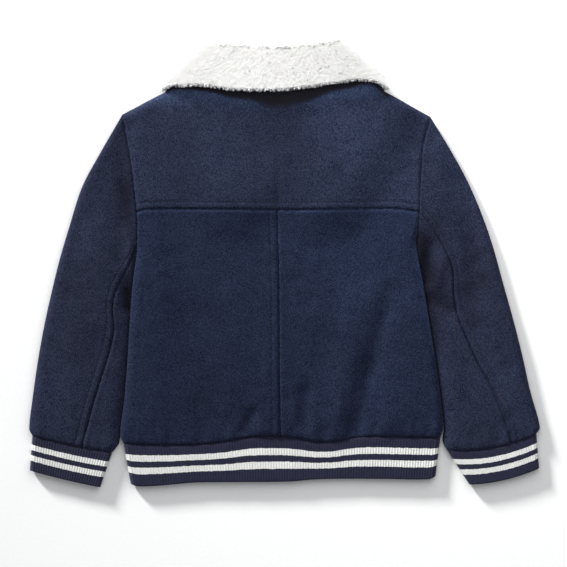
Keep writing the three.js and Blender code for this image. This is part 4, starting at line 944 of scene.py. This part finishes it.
# ---------------------------------------------------------------- collar
# part, measure (a: from the roll, end: back from the free end, share: of the length), value, height
SHERPA_SECTION = [
    ("fall", "end", 1.4, 7.1), ("fall", "end", 0.3, 8.4), ("fall", "end", -0.6, 10.4),
    ("fall", "end", -0.6, 12.0), ("fall", "end", 0.9, 13.1), ("fall", "end", 6, 13.2),
    ("fall", "share", 0.7, 13.1), ("fall", "share", 0.5, 13.1), ("fall", "share", 0.3, 13.1),
    ("fall", "a", 9, 13.1),
    ("fall", "a", 5, 12.7), ("fall", "a", 2, 11.3), ("fall", "a", 0.3, 8.9),
    ("stand", "a", 0, 6.2), ("stand", "a", 0.9, 3.4), ("stand", "a", 2.8, 1.3),
    ("stand", "a", 6, 0.4), ("stand", "end", 0, 0.4), ("stand", "end", 0, 3.4),
    ("stand", "a", 8, 3.4), ("stand", "a", 6.8, 4.1), ("stand", "a", 6.5, 5.25),
    ("fall", "a", 6.8, 6.4), ("fall", "a", 8, 7.1), ("fall", "share", 0.5, 7.1),
]
UNDER_COLLAR_SECTION = [
    ("fall", "end", -1.6, 5.5), ("fall", "end", -1.8, 6.7), ("fall", "share", 0.7, 6.8),
    ("fall", "share", 0.4, 6.8), ("fall", "a", 8.2, 6.8), ("fall", "a", 7.2, 6.2),
    ("stand", "a", 6.9, 5.25), ("stand", "a", 7.2, 4.3), ("stand", "a", 8.2, 3.7),
    ("stand", "end", 0, 3.7), ("stand", "end", 0, 5.1), ("stand", "a", 9.2, 5.1),
    ("stand", "a", 8.9, 5.25), ("fall", "a", 9.2, 5.4), ("fall", "share", 0.5, 5.4),
]
CORNER_DROP = 0.5  # how far the soft corners of the fall sink past the hinge
# share of the fall's length, and how far the turned collar bulges outwards there
COLLAR_BULGE = {
    "left": curve([0, 0.15, 0.42, 0.78, 0.9, 1.05], [2, 4.6, 4.2, 5.2, 3, 0]),
    "right": curve([0, 0.25, 0.6, 0.83, 0.95, 1.05], [1, 4, 6, 6.5, 3, -0.5]),
}


JOIN_SPREAD = 0.15  # share of a turn's rings over which the turn runs on into the back


def collar_turn_and_front(side, turn_steps, front_steps):
    """Places along the collar at one shoulder, from the back to the front end."""
    hinge, corner = HINGES[side], COLLAR_SIDES[side]

    def edge_at(angle):
        back = corner["hang"] * math.cos(angle) ** 2 - CORNER_DROP * math.sin(angle)
        return hinge["edge"] - hinge["along"] * back

    places = []
    for i in range(turn_steps + 1):
        angle = math.pi * i / turn_steps
        roll = hinge["roll"] - hinge["along"] * (ROLL_RISE * max(math.cos(angle), 0))
        places.append(dict(roll=roll, edge=edge_at(angle), neck=hinge["neck"],
                           outward=hinge["outward"], angle=angle, side=side))
    roll_end = np.array([CENTRE_X + SIDES[side] * ROLL_POINT[0], ROLL_POINT[1]], float)
    neckline = front_neckline(side, front_steps)
    for i in range(1, front_steps + 1):
        t = i / front_steps
        places.append(dict(roll=mix(hinge["roll"], roll_end, t),
                           edge=mix(edge_at(math.pi), np.array(corner["tip"], float), t),
                           neck=neckline[i], outward=hinge["outward"], angle=math.pi, side=side))
    return places


def collar_places(back_steps, turn_steps, front_steps):
    left = collar_turn_and_front("left", turn_steps, front_steps)
    right = collar_turn_and_front("right", turn_steps, front_steps)
    back = []
    for i in range(1, back_steps):
        t = i / back_steps
        roll, edge = mix(left[0]["roll"], right[0]["roll"], t), mix(left[0]["edge"], right[0]["edge"], t)
        roll[1], edge[1] = roll_y(roll[0]), collar_edge_y(edge[0])
        neck = mix(left[0]["neck"], right[0]["neck"], t)
        back.append(dict(roll=roll, edge=edge, neck=neck, outward=np.array([0.0, 1.0]), angle=0.0,
                         side="left"))
    places = left[::-1] + back + right
    joins = len(left) - 0.5, len(left) + len(back) - 0.5
    ease_joins(places, joins, JOIN_SPREAD * turn_steps)
    return places


def ease_joins(places, joins, spread):
    """Lets the roll line and the edge run smoothly from the back into the turns at the shoulders."""
    number = np.arange(len(places))
    reach = np.arange(-int(3 * spread), int(3 * spread) + 1)
    weights = np.exp(-((reach / spread) ** 2))
    near = sum(np.exp(-(((number - join) / (2 * spread)) ** 2)) for join in joins)[:, None]
    for key in ("roll", "edge"):
        line = np.array([place[key] for place in places])
        window = line[np.clip(number[:, None] + reach, 0, len(places) - 1)]
        soft = np.tensordot(window, weights, ([1], [0])) / weights.sum()
        for place, point in zip(places, line + (soft - line) * near):
            place[key] = point


def rounded_loop(points, counts):
    """A closed outline through the points, eased at its corners, with counts[i] steps from point i."""
    ahead = np.roll(points, -1, axis=0)
    out = []
    for i, count in enumerate(counts):
        p0, p1, p2, p3 = points[i - 1], points[i], ahead[i], ahead[(i + 1) % len(points)]
        t = (np.arange(count) / count)[:, None]
        chord = np.linalg.norm(p2 - p1)
        m1 = norm(p2 - p0) * min(chord, np.linalg.norm(p1 - p0)) * 0.9
        m2 = norm(p3 - p1) * min(chord, np.linalg.norm(p3 - p2)) * 0.9
        h = 2 * t**3 - 3 * t**2 + 1, t**3 - 2 * t**2 + t, 3 * t**2 - 2 * t**3, t**3 - t**2
        out.append(h[0] * p1 + h[1] * m1 + h[2] * p2 + h[3] * m2)
    return np.concatenate(out)


def section_outline(section, place):
    """The section's corners at one place: distance from the roll line, and height."""
    lengths = {
        "fall": np.linalg.norm(place["edge"] - place["roll"]),
        "stand": np.linalg.norm(place["neck"] - place["roll"]) - SEAM_GAP,
    }
    corners = []
    for part, measure, value, height in section:
        a = {"a": value, "end": lengths[part] - value, "share": value * lengths[part]}[measure]
        corners.append((a, height))
    return np.array(corners, float), lengths


STAND_TOP, FALL_BOTTOM = 4.6, 6.4  # between these heights the stand turns into the fall


def swept_collar(section, places, spacing):
    """Rings of points along the collar, and each point's height above its middle plane."""
    corners, _ = section_outline(section, places[len(places) // 2])
    steps = np.linalg.norm(np.roll(corners, -1, axis=0) - corners, axis=1)
    counts = np.maximum(2, np.round(steps / spacing)).astype(int)
    rings, heights = [], []
    for place in places:
        corners, lengths = section_outline(section, place)
        a, h = rounded_loop(corners, counts).T
        to_fall = mix(place["roll"], place["edge"], a / lengths["fall"])
        to_stand = mix(place["roll"], place["neck"], a / lengths["stand"])
        on_fall = smoothstep(h, STAND_TOP, FALL_BOTTOM)
        plan = to_stand + (to_fall - to_stand) * on_fall[:, None]
        bulge = COLLAR_BULGE[place["side"]](np.clip(a / lengths["fall"], 0, 1.05)) * on_fall
        reach = (h + bulge) * math.sin(place["angle"])
        plan = plan + place["outward"] * reach[:, None]
        rings.append(np.column_stack([plan, COLLAR_MIDDLE + h * math.cos(place["angle"])]))
        heights.append(h)
    return np.array(rings), np.array(heights)


def ring_mesh(rings):
    """Points, quads and the two end faces of a closed sweep."""
    count, size = rings.shape[:2]
    numbers = np.arange(count * size).reshape(count, size)
    quads = grid_quads(np.concatenate([numbers, numbers[:, :1]], axis=1))
    return rings.reshape(-1, 3), quads, [numbers[0], numbers[-1][::-1]]


def sweep_normals(rings):
    around = np.roll(rings, -1, axis=1) - np.roll(rings, 1, axis=1)
    along = np.gradient(rings, axis=0)
    normals = norm(np.cross(along, around) + 1e-9)
    middle = rings.mean(axis=1, keepdims=True)
    return normals * np.sign(np.einsum("ijk,ijk->", normals, rings - middle))


CURL_SEED = 3


def curls(points):
    """Soft, wandering lumps of pile about 3 mm across, from 0 in the creases to 1 on the crowns."""
    noise.seed_set(CURL_SEED)  # without a seed, noise_vector takes one from the clock
    heights = np.empty(len(points))
    for i, point in enumerate(points):
        place = Vector(point)
        place = place + noise.noise_vector(place * 0.22) * 1.8
        large = min(abs(noise.noise(place * 0.33)) * 2.6, 1.0)
        small = min(abs(noise.noise(place * 0.66 + Vector((7.1, 3.3, 1.9)))) * 2.6, 1.0)
        heights[i] = 0.6 * large**0.7 + 0.4 * small**0.7
    return heights


CURL_HEIGHT = 0.62
WINDOW = np.array([-0.62, 0.79, 0.255])  # towards the window's light
WINDOW_LIGHT = 6.3
SOFTBOX = np.array([0.16, 0.36, 0.52])  # the softbox's place in metres
SOFTBOX_LIGHT, SKY_LIGHT = 1.75, 0.55  # how much each adds on the pile, beside the window


def painted_pile_tone(rings, normals):
    """Painted light and shade on the pile, standing in for the light that deep pile passes on: lighter where
    it turns away from the lamps, darker where it faces them, and darker towards the wearer's right.
    """
    up = np.zeros_like(normals) + (0, 0, 1)
    lit, plain = (
        WINDOW_LIGHT * np.maximum(n @ norm(WINDOW), 0)
        + SOFTBOX_LIGHT * np.maximum(n @ norm(SOFTBOX), 0) + SKY_LIGHT * (1 + n[..., 2])
        for n in (normals, up)
    )
    # only a thin rim of the pile at the roll shows
    at_roll = smoothstep(normals[..., 1] - np.abs(normals[..., 0]), 0.3, 0.7)
    tone = np.clip(plain / np.maximum(lit, 0.5), 0.4 + 0.25 * at_roll, 1.4)
    return tone * (1.03 - 0.14 * smoothstep(rings[..., 0], -60, 80))


def add_collar():
    rings, heights = swept_collar(SHERPA_SECTION, collar_places(230, 40, 52), 0.95)
    normals = sweep_normals(rings)
    pile = np.maximum(smoothstep(heights, 5.4, 7.2), 1 - smoothstep(heights, 0.8, 2.0))
    lumps = curls(rings.reshape(-1, 3)).reshape(heights.shape)
    rim = smoothstep(heights, 8, 10) * smoothstep(12.9 - heights, 0, 0.8)
    rim[:, rings.shape[1] // 4:] *= 0.3
    tone = painted_pile_tone(rings, normals)
    rings = rings + normals * (pile * (CURL_HEIGHT * (1 + rim) * lumps - 0.6))[..., None]
    rings[..., 2] = np.maximum(rings[..., 2], 0)
    keep_values(add_sweep("collar", rings, SHERPA), "painted_light_and_shade", tone.reshape(-1))
    add_tufts(rings, normals, pile, rim, np.clip(tone, 0.85, 1.3))


def add_sweep(name, rings, material):
    points, quads, ends = ring_mesh(rings)
    piece = make_mesh(f"{name}_cloth", points, quads, material, points[:, :2] * MM, ends)
    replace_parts(piece, name)
    return piece


def add_under_collar():
    rings, _ = swept_collar(UNDER_COLLAR_SECTION, collar_places(110, 24, 36), 2.2)
    add_sweep("under_collar", rings, UNDER_WOOL)


# ---------------------------------------------------------------- small curled and stitched pieces
def tube(path, radii, sides):
    """Points and quads of a tube along a path, drawn to a small end at each tip."""
    path = np.asarray(path)
    tangents = norm(np.gradient(path, axis=0) + 1e-9)
    side = norm(np.cross(tangents, (0.31, 0.52, 0.79)) + 1e-9)
    up = np.cross(tangents, side)
    angles = np.arange(sides) * 2 * math.pi / sides
    rings = path[:, None] + np.asarray(radii)[:, None, None] * (
        side[:, None] * np.cos(angles)[None, :, None] + up[:, None] * np.sin(angles)[None, :, None]
    )
    numbers = np.arange(len(path) * sides).reshape(len(path), sides)
    looped = np.concatenate([numbers, numbers[:, :1]], axis=1)
    return rings.reshape(-1, 3), grid_quads(looped)


def join_tubes(tubes):
    points, quads, offset = [], [], 0
    for tube_points, tube_quads in tubes:
        points.append(tube_points)
        quads.append(tube_quads + offset)
        offset += len(tube_points)
    return np.concatenate(points), np.concatenate(quads)


TUFT_SEED = 7
TUFTS = 2700
RIM_TUFTS = 45  # how many times denser the curls stand along the free edges


def add_tufts(rings, normals, pile, rim, tone):
    """Loose curls of the sherpa: flat among its lumps and standing out along its free edges."""
    draw = np.random.default_rng(TUFT_SEED)
    weight = (pile > 0.6) * np.linalg.norm(np.gradient(rings, axis=0), axis=-1) * (1 + RIM_TUFTS * rim)
    chosen = draw.choice(weight.size, TUFTS, p=weight.ravel() / weight.sum())
    tubes = []
    for index in chosen:
        i, j = divmod(index, rings.shape[1])
        normal, free = normals[i, j], rim[i, j]
        heading = norm(np.cross(normal, draw.normal(size=3)))
        aside = np.cross(normal, heading)
        length, curl = draw.uniform(1.8, 3.4), draw.uniform(-2.8, 2.8)
        t = np.linspace(0, 1, 6)
        forward = np.sin(curl * t) / (abs(curl) + 0.4) * length
        across = (1 - np.cos(curl * t)) / (abs(curl) + 0.4) * length
        stand = 0.35 + free * draw.uniform(0.2, 2.6)
        rise = stand * np.sin(math.pi * np.minimum(t * (0.9 - 0.35 * free) + 0.05, 1)) - 0.35
        path = rings[i, j] + heading * forward[:, None] + aside * across[:, None] + normal * rise[:, None]
        thick = draw.uniform(0.42, 0.7) * (1 + 0.4 * free)
        tubes.append(tube(path, 0.8 * thick * (1 - 0.7 * t**2), 5))
    points, quads = join_tubes(tubes)
    points[:, 2] = np.maximum(points[:, 2], 0)
    tones = np.repeat(tone.reshape(-1)[chosen], len(points) // TUFTS)
    keep_values(make_mesh("sherpa_curls", points, quads, SHERPA), "painted_light_and_shade", tones)


STITCH = 3.1
STITCH_GAP = 0.5
THREAD_RADIUS = 0.27


def add_topstitching(name, lines, surface):
    """Rows of stitches along plan lines, lying on the surface."""
    tubes = []
    for line in lines:
        steps = np.linalg.norm(np.diff(line, axis=0), axis=1)
        reach = np.concatenate([[0], np.cumsum(steps)])
        starts = np.arange(STITCH_GAP, reach[-1] - STITCH, STITCH + STITCH_GAP)
        for start in starts:
            t = np.linspace(0, 1, 6)
            along = start + STITCH * t
            plan = np.stack([np.interp(along, reach, line[:, k]) for k in (0, 1)], axis=-1)
            heights = [surface(x, y) for x, y in plan]
            if None in heights:
                continue
            arch = THREAD_RADIUS * (1.5 * np.sin(math.pi * t) - 0.7)
            path = np.column_stack([plan, np.array(heights) + arch])
            tubes.append(tube(path, np.full(6, THREAD_RADIUS), 6))
    points, quads = join_tubes(tubes)
    make_mesh(name, points, quads, THREAD)


def surface_of(name):
    """Height of a cloth piece's top at a plan point, or None beside it."""
    mesh = bpy.data.objects[f"{name}_cloth"].data
    tree = BVHTree.FromPolygons([v.co for v in mesh.vertices], [p.vertices for p in mesh.polygons])

    def height(x, y):
        hit = tree.ray_cast(Vector((x * MM, y * MM, 0.1)), Vector((0, 0, -1)))[0]
        return hit.z / MM if hit else None

    return height


def sleeve_stitch_line(side):
    line = []
    for at in np.linspace(0.03, 0.985, 90):
        section = sleeve_section(side, at)
        toward = norm(section["outer"] - section["seam"])
        drop = sag(1 - TOPSTITCH / 90, CUFFS[side]["seam_sag"]) * smoothstep(at, SEAM_SAG_FROM, 1)
        line.append(section["seam"] + toward * TOPSTITCH - np.array([0, drop]))
    return np.array(line)


def add_all_topstitching():
    xs = np.linspace(-160, 146, 200)
    yoke = np.stack([xs, yoke_seam_y(xs) + TOPSTITCH], axis=-1)
    ys = np.linspace(60, -188, 200)
    centre = np.stack([centre_back_x(ys) - TOPSTITCH, ys], axis=-1)
    add_topstitching("topstitching_yoke", [yoke], surface_of("back_yoke"))
    add_topstitching("topstitching_centre_back", [centre], surface_of("back_left"))
    for side in SIDES:
        surface = surface_of(f"sleeve_top_{side}")
        add_topstitching(f"topstitching_sleeve_{side}", [sleeve_stitch_line(side)], surface)


# ---------------------------------------------------------------- press studs
STUD_PROFILE = [  # share of the radius, share of the thickness, from the middle of the face outwards
    (0.0, 0.55), (0.3, 0.5), (0.52, 0.36), (0.6, 0.3), (0.66, 0.42), (0.74, 0.22), (0.86, 0.02),
    (0.96, 0.1), (1.0, 0.34), (1.0, 0.8), (0.96, 1.0),
]
STUD_SIDES = 48


def add_stud(name):
    """A capped press stud with a rolled rim and a dished middle, on the underside."""
    low, high = (np.array(corner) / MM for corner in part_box(name))
    middle, radius, height = (low + high) / 2, (high[0] - low[0]) / 2, high[2] - low[2]
    angles = np.arange(STUD_SIDES) * 2 * math.pi / STUD_SIDES
    rings = np.array([
        np.column_stack([
            middle[0] + radius * max(r, 0.01) * np.cos(angles),
            middle[1] + radius * max(r, 0.01) * np.sin(angles),
            np.full(STUD_SIDES, low[2] + height * h),
        ])
        for r, h in STUD_PROFILE
    ])
    points, quads, ends = ring_mesh(rings)
    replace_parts(make_mesh(f"{name}_cap", points, quads, METAL, None, ends), name)


# ---------------------------------------------------------------- materials
class Nodes:
    """Builds one node material. Places are in metres, from the piece's own coordinates or its cloth's."""

    def __init__(self, name, roughness, metallic=0.0, sheen=0.0, sheen_roughness=0.5, sheen_tint=(1, 1, 1)):
        self.material = bpy.data.materials.new(name)
        self.material.use_nodes = True
        self.tree = self.material.node_tree
        self.shader = self.tree.nodes["Principled BSDF"]
        values = {
            "Roughness": roughness, "Metallic": metallic, "Sheen Weight": sheen,
            "Sheen Roughness": sheen_roughness, "Sheen Tint": (*sheen_tint, 1),
            "Specular IOR Level": 0.5 if metallic else 0.08,
        }
        for socket, value in values.items():
            self.shader.inputs[socket].default_value = value
        coordinates = self.tree.nodes.new("ShaderNodeTexCoord")
        self.place, self.cloth = coordinates.outputs["Object"], coordinates.outputs["UV"]

    def node(self, kind, inputs=(), **settings):
        node = self.tree.nodes.new(kind)
        for key, value in settings.items():
            setattr(node, key, value)
        for key, value in dict(inputs).items():
            if isinstance(value, bpy.types.NodeSocket):
                self.tree.links.new(value, node.inputs[key])
            else:
                node.inputs[key].default_value = value
        return node

    def noise(self, scale, detail=2.0, stretch=(1, 1, 1), roughness=0.5):
        place = self.node("ShaderNodeMapping", {"Vector": self.place, "Scale": stretch}).outputs[0]
        inputs = {"Vector": place, "Scale": scale, "Detail": detail, "Roughness": roughness}
        return self.node("ShaderNodeTexNoise", inputs).outputs["Fac"]

    def math(self, operation, a, b=0.0):
        return self.node("ShaderNodeMath", {0: a, 1: b}, operation=operation).outputs[0]

    def plus(self, a, b):
        return self.math("ADD", a, b)

    def times(self, a, b):
        return self.math("MULTIPLY", a, b)

    def ramp(self, fac, stops, interpolation="LINEAR"):
        node = self.node("ShaderNodeValToRGB", {"Fac": fac})
        ramp = node.color_ramp
        ramp.interpolation = interpolation
        while len(ramp.elements) < len(stops):
            ramp.elements.new(0.5)
        for element, (position, colour) in zip(ramp.elements, stops):
            element.position = position
            element.color = (*colour, 1)
        return node.outputs["Color"]

    def blend(self, fac, a, b, blend_type="MIX"):
        return self.node(
            "ShaderNodeMix", {0: fac, 6: a, 7: b}, data_type="RGBA", blend_type=blend_type
        ).outputs[2]

    def kept(self, name):
        """The value that a piece keeps under this name at each point."""
        attribute = self.tree.nodes.new("ShaderNodeAttribute")
        attribute.attribute_name = name
        return attribute.outputs["Fac"]

    def toned(self, colour, warmth=1.0):
        """The colour lightened or darkened by the painted light and shade kept at the piece's points, warmer
        where dark.
        """
        painted_light_and_shade = self.kept("painted_light_and_shade")
        channels = {0: self.math("POWER", painted_light_and_shade, warmth), 1: painted_light_and_shade, 2: painted_light_and_shade}
        tone = self.node("ShaderNodeCombineColor", channels)
        return self.blend(1.0, colour, tone.outputs[0], "MULTIPLY")

    def finish(self, colour, height, distance, strength=1.0):
        bump = self.node("ShaderNodeBump", {"Height": height, "Distance": distance, "Strength": strength})
        self.tree.links.new(colour, self.shader.inputs["Base Color"])
        self.tree.links.new(bump.outputs["Normal"], self.shader.inputs["Normal"])
        return self.material


def wool(name, dark, light, takes_painted_light=True):
    """Felted melton: short matt fibres, lighter and darker, and soft, broad blotches; where it takes them,
    painted light and shade, and a near-black painted shade under the collar.
    """
    nodes = Nodes(name, 0.92, sheen=0.1, sheen_roughness=0.45, sheen_tint=(0.62, 0.7, 1.0))
    fibres = nodes.noise(1050, 1.0, roughness=0.6)
    combed = nodes.noise(680, 1.0, stretch=(1.0, 0.7, 1.0))
    blotches = nodes.noise(70, 2.0)
    speckle = nodes.plus(nodes.times(fibres, 0.6), nodes.times(combed, 0.4))
    shade = nodes.plus(nodes.times(speckle, 0.9), nodes.times(blotches, 0.1))
    colour = nodes.ramp(shade, [(0.38, dark), (0.62, light)])
    lint = nodes.math("GREATER_THAN", nodes.noise(900, 1.0), 0.74)
    lint = nodes.times(lint, 0.35)
    colour = nodes.blend(lint, colour, (0.12, 0.14, 0.2, 1))
    if takes_painted_light:
        colour = nodes.toned(colour, 0.85)
        # painted shade: near-black charcoal where the turned collar shades the yoke
        in_shade = nodes.times(nodes.kept("collar_shade"), 0.85)
        colour = nodes.blend(in_shade, colour, (0.0115, 0.0106, 0.0132, 1))
    height = nodes.plus(fibres, nodes.times(combed, 0.8))
    return nodes.finish(colour, height, 0.0006, 0.55)


def rib_knit():
    """A 1 by 1 rib whose two white stripes follow the knit's courses."""
    nodes = Nodes("rib_knit", 0.85, sheen=0.2, sheen_roughness=0.5, sheen_tint=(0.8, 0.85, 1.0))
    split = nodes.node("ShaderNodeSeparateXYZ", {"Vector": nodes.cloth})
    across, down = split.outputs["X"], split.outputs["Y"]
    wales = nodes.times(across, 1000 / (RIB_PITCH / 2))
    leg = nodes.math("ABSOLUTE", nodes.math("SUBTRACT", nodes.math("FRACT", wales), 0.5))
    courses = nodes.plus(nodes.times(down, 1000 / 1.15), nodes.times(leg, 1.3))
    stitch = nodes.math("SINE", nodes.times(courses, 2 * math.pi))
    ragged = nodes.times(nodes.math("SUBTRACT", leg, 0.25), 0.0006)
    uneven = nodes.times(nodes.math("SUBTRACT", nodes.noise(260, 1.0), 0.5), 0.0012)
    depth = nodes.plus(nodes.plus(down, ragged), uneven)
    share = nodes.times(depth, 1000 / KNIT_DEPTH)
    navy, white = (0, 0, 0), (1, 1, 1)
    colours = (navy, white, navy, white, navy)
    stops = [(at, colour) for at, colour in zip((0, *STRIPES), colours)]
    is_white = nodes.ramp(share, stops, "CONSTANT")
    yarn = nodes.noise(700, 3.0)
    navy_yarn = nodes.ramp(yarn, [(0.3, (0.0085, 0.0092, 0.0235)), (0.7, (0.0205, 0.0212, 0.050))])
    white_yarn = nodes.ramp(yarn, [(0.3, (0.66, 0.66, 0.63)), (0.7, (0.80, 0.80, 0.78))])
    colour = nodes.blend(is_white, navy_yarn, white_yarn)
    height = nodes.plus(nodes.times(stitch, 0.4), yarn)
    return nodes.finish(colour, height, 0.00045, 0.8)


def sherpa():
    nodes = Nodes("sherpa_pile", 0.95, sheen=0.35, sheen_roughness=0.6)
    fibres = nodes.noise(1100, 3.0, roughness=0.7)
    soft = nodes.noise(140, 2.0)
    shade = nodes.plus(nodes.times(fibres, 0.5), nodes.times(soft, 0.5))
    colour = nodes.ramp(shade, [(0.3, (0.635, 0.63, 0.615)), (0.7, (0.72, 0.715, 0.70))])
    # painted light and shade on the pile, kept at its points
    colour = nodes.toned(colour)
    nodes.shader.inputs["Subsurface Weight"].default_value = 1.0
    nodes.shader.inputs["Subsurface Radius"].default_value = (1, 1, 1)
    nodes.shader.inputs["Subsurface Scale"].default_value = 0.008
    return nodes.finish(colour, fibres, 0.0004, 0.5)


def thread():
    nodes = Nodes("navy_thread", 0.6, sheen=0.1)
    twist = nodes.noise(1600, 1.0)
    colour = nodes.ramp(twist, [(0.3, (0.004, 0.006, 0.015)), (0.7, (0.009, 0.0125, 0.028))])
    return nodes.finish(colour, twist, 0.0002, 0.6)


def metal():
    nodes = Nodes("satin_nickel", 0.34, metallic=1.0)
    brushed = nodes.noise(500, 3.0, stretch=(1, 6, 1))
    colour = nodes.ramp(brushed, [(0.3, (0.52, 0.52, 0.54)), (0.7, (0.62, 0.62, 0.64))])
    return nodes.finish(colour, brushed, 0.0001, 0.3)


WOOL = wool("navy_melton", (0.0040, 0.0068, 0.0192), (0.0280, 0.0342, 0.0650))
# the same melton painted darker for the back panels: painted shade
SHADED_BACK_WOOL = wool("navy_melton_back", (0.0026, 0.0054, 0.0172), (0.0192, 0.0262, 0.0560))
UNDER_WOOL = wool("under_collar_melton", (0.004, 0.0052, 0.0115), (0.0115, 0.0148, 0.030), takes_painted_light=False)
RIB = rib_knit()
SHERPA = sherpa()
THREAD = thread()
METAL = metal()

# ---------------------------------------------------------------- the jacket
add_back_yoke()
for wearer_side in SIDES:
    add_back_panel(wearer_side)
    add_front(wearer_side)
    add_sleeve(wearer_side)
    add_cuff(wearer_side)
add_hem_rib()
add_collar()
add_under_collar()
add_all_topstitching()
for number in range(1, 7):
    add_stud(f"snap_{number}")


# ---------------------------------------------------------------- floor, light and camera
FLOOR_DROP = 0.05 * MM


def add_floor():
    mesh = bpy.data.meshes.new("floor")
    half = 4.0
    corners = [(-half, -half), (half, -half), (half, half), (-half, half)]
    mesh.from_pydata([(x, y, -FLOOR_DROP) for x, y in corners], [], [(0, 1, 2, 3)])
    floor = new_object("floor", mesh)
    paper = Nodes("white_paper", 0.9)
    grain = paper.noise(300, 2.0)
    colour = paper.ramp(grain, [(0.3, (0.9,) * 3), (0.7, (0.92,) * 3)])
    mesh.materials.append(paper.finish(colour, grain, 1e-4, 0.1))


def add_lamp(name, kind, toward, **settings):
    """A lamp that shines from the given direction, or from the given place onto the origin."""
    light = bpy.data.lights.new(name, kind)
    for key, value in settings.items():
        setattr(light, key, value)
    lamp = new_object(name, light)
    lamp.location = toward
    lamp.rotation_mode = "QUATERNION"
    lamp.rotation_quaternion = Vector(toward).to_track_quat("Z", "Y")


def add_light():
    """A low window light, a pale sky and a soft fill from the wearer's right."""
    add_lamp("window", "SUN", WINDOW, energy=WINDOW_LIGHT, angle=math.radians(8))
    world = bpy.data.worlds.new("studio")
    world.use_nodes = True
    background = world.node_tree.nodes["Background"]
    background.inputs["Color"].default_value = (0.97, 0.985, 1.0, 1)
    background.inputs["Strength"].default_value = 0.36
    bpy.context.scene.world = world
    add_lamp("softbox", "AREA", SOFTBOX, shape="DISK", size=1.0, energy=3.7)


def add_camera():
    low, high = cad_box
    centre = (low + high) / 2
    data = bpy.data.cameras.new("camera")
    data.sensor_width = 36
    distance, width = 2.4, 0.6212
    data.lens = data.sensor_width * distance / width
    camera = new_object("camera", data)
    camera.location = (centre.x - 0.0012, centre.y - 0.0212, distance + 0.012)
    bpy.context.scene.camera = camera


add_floor()
add_light()
add_camera()
bpy.context.scene.view_settings.view_transform = "Standard"
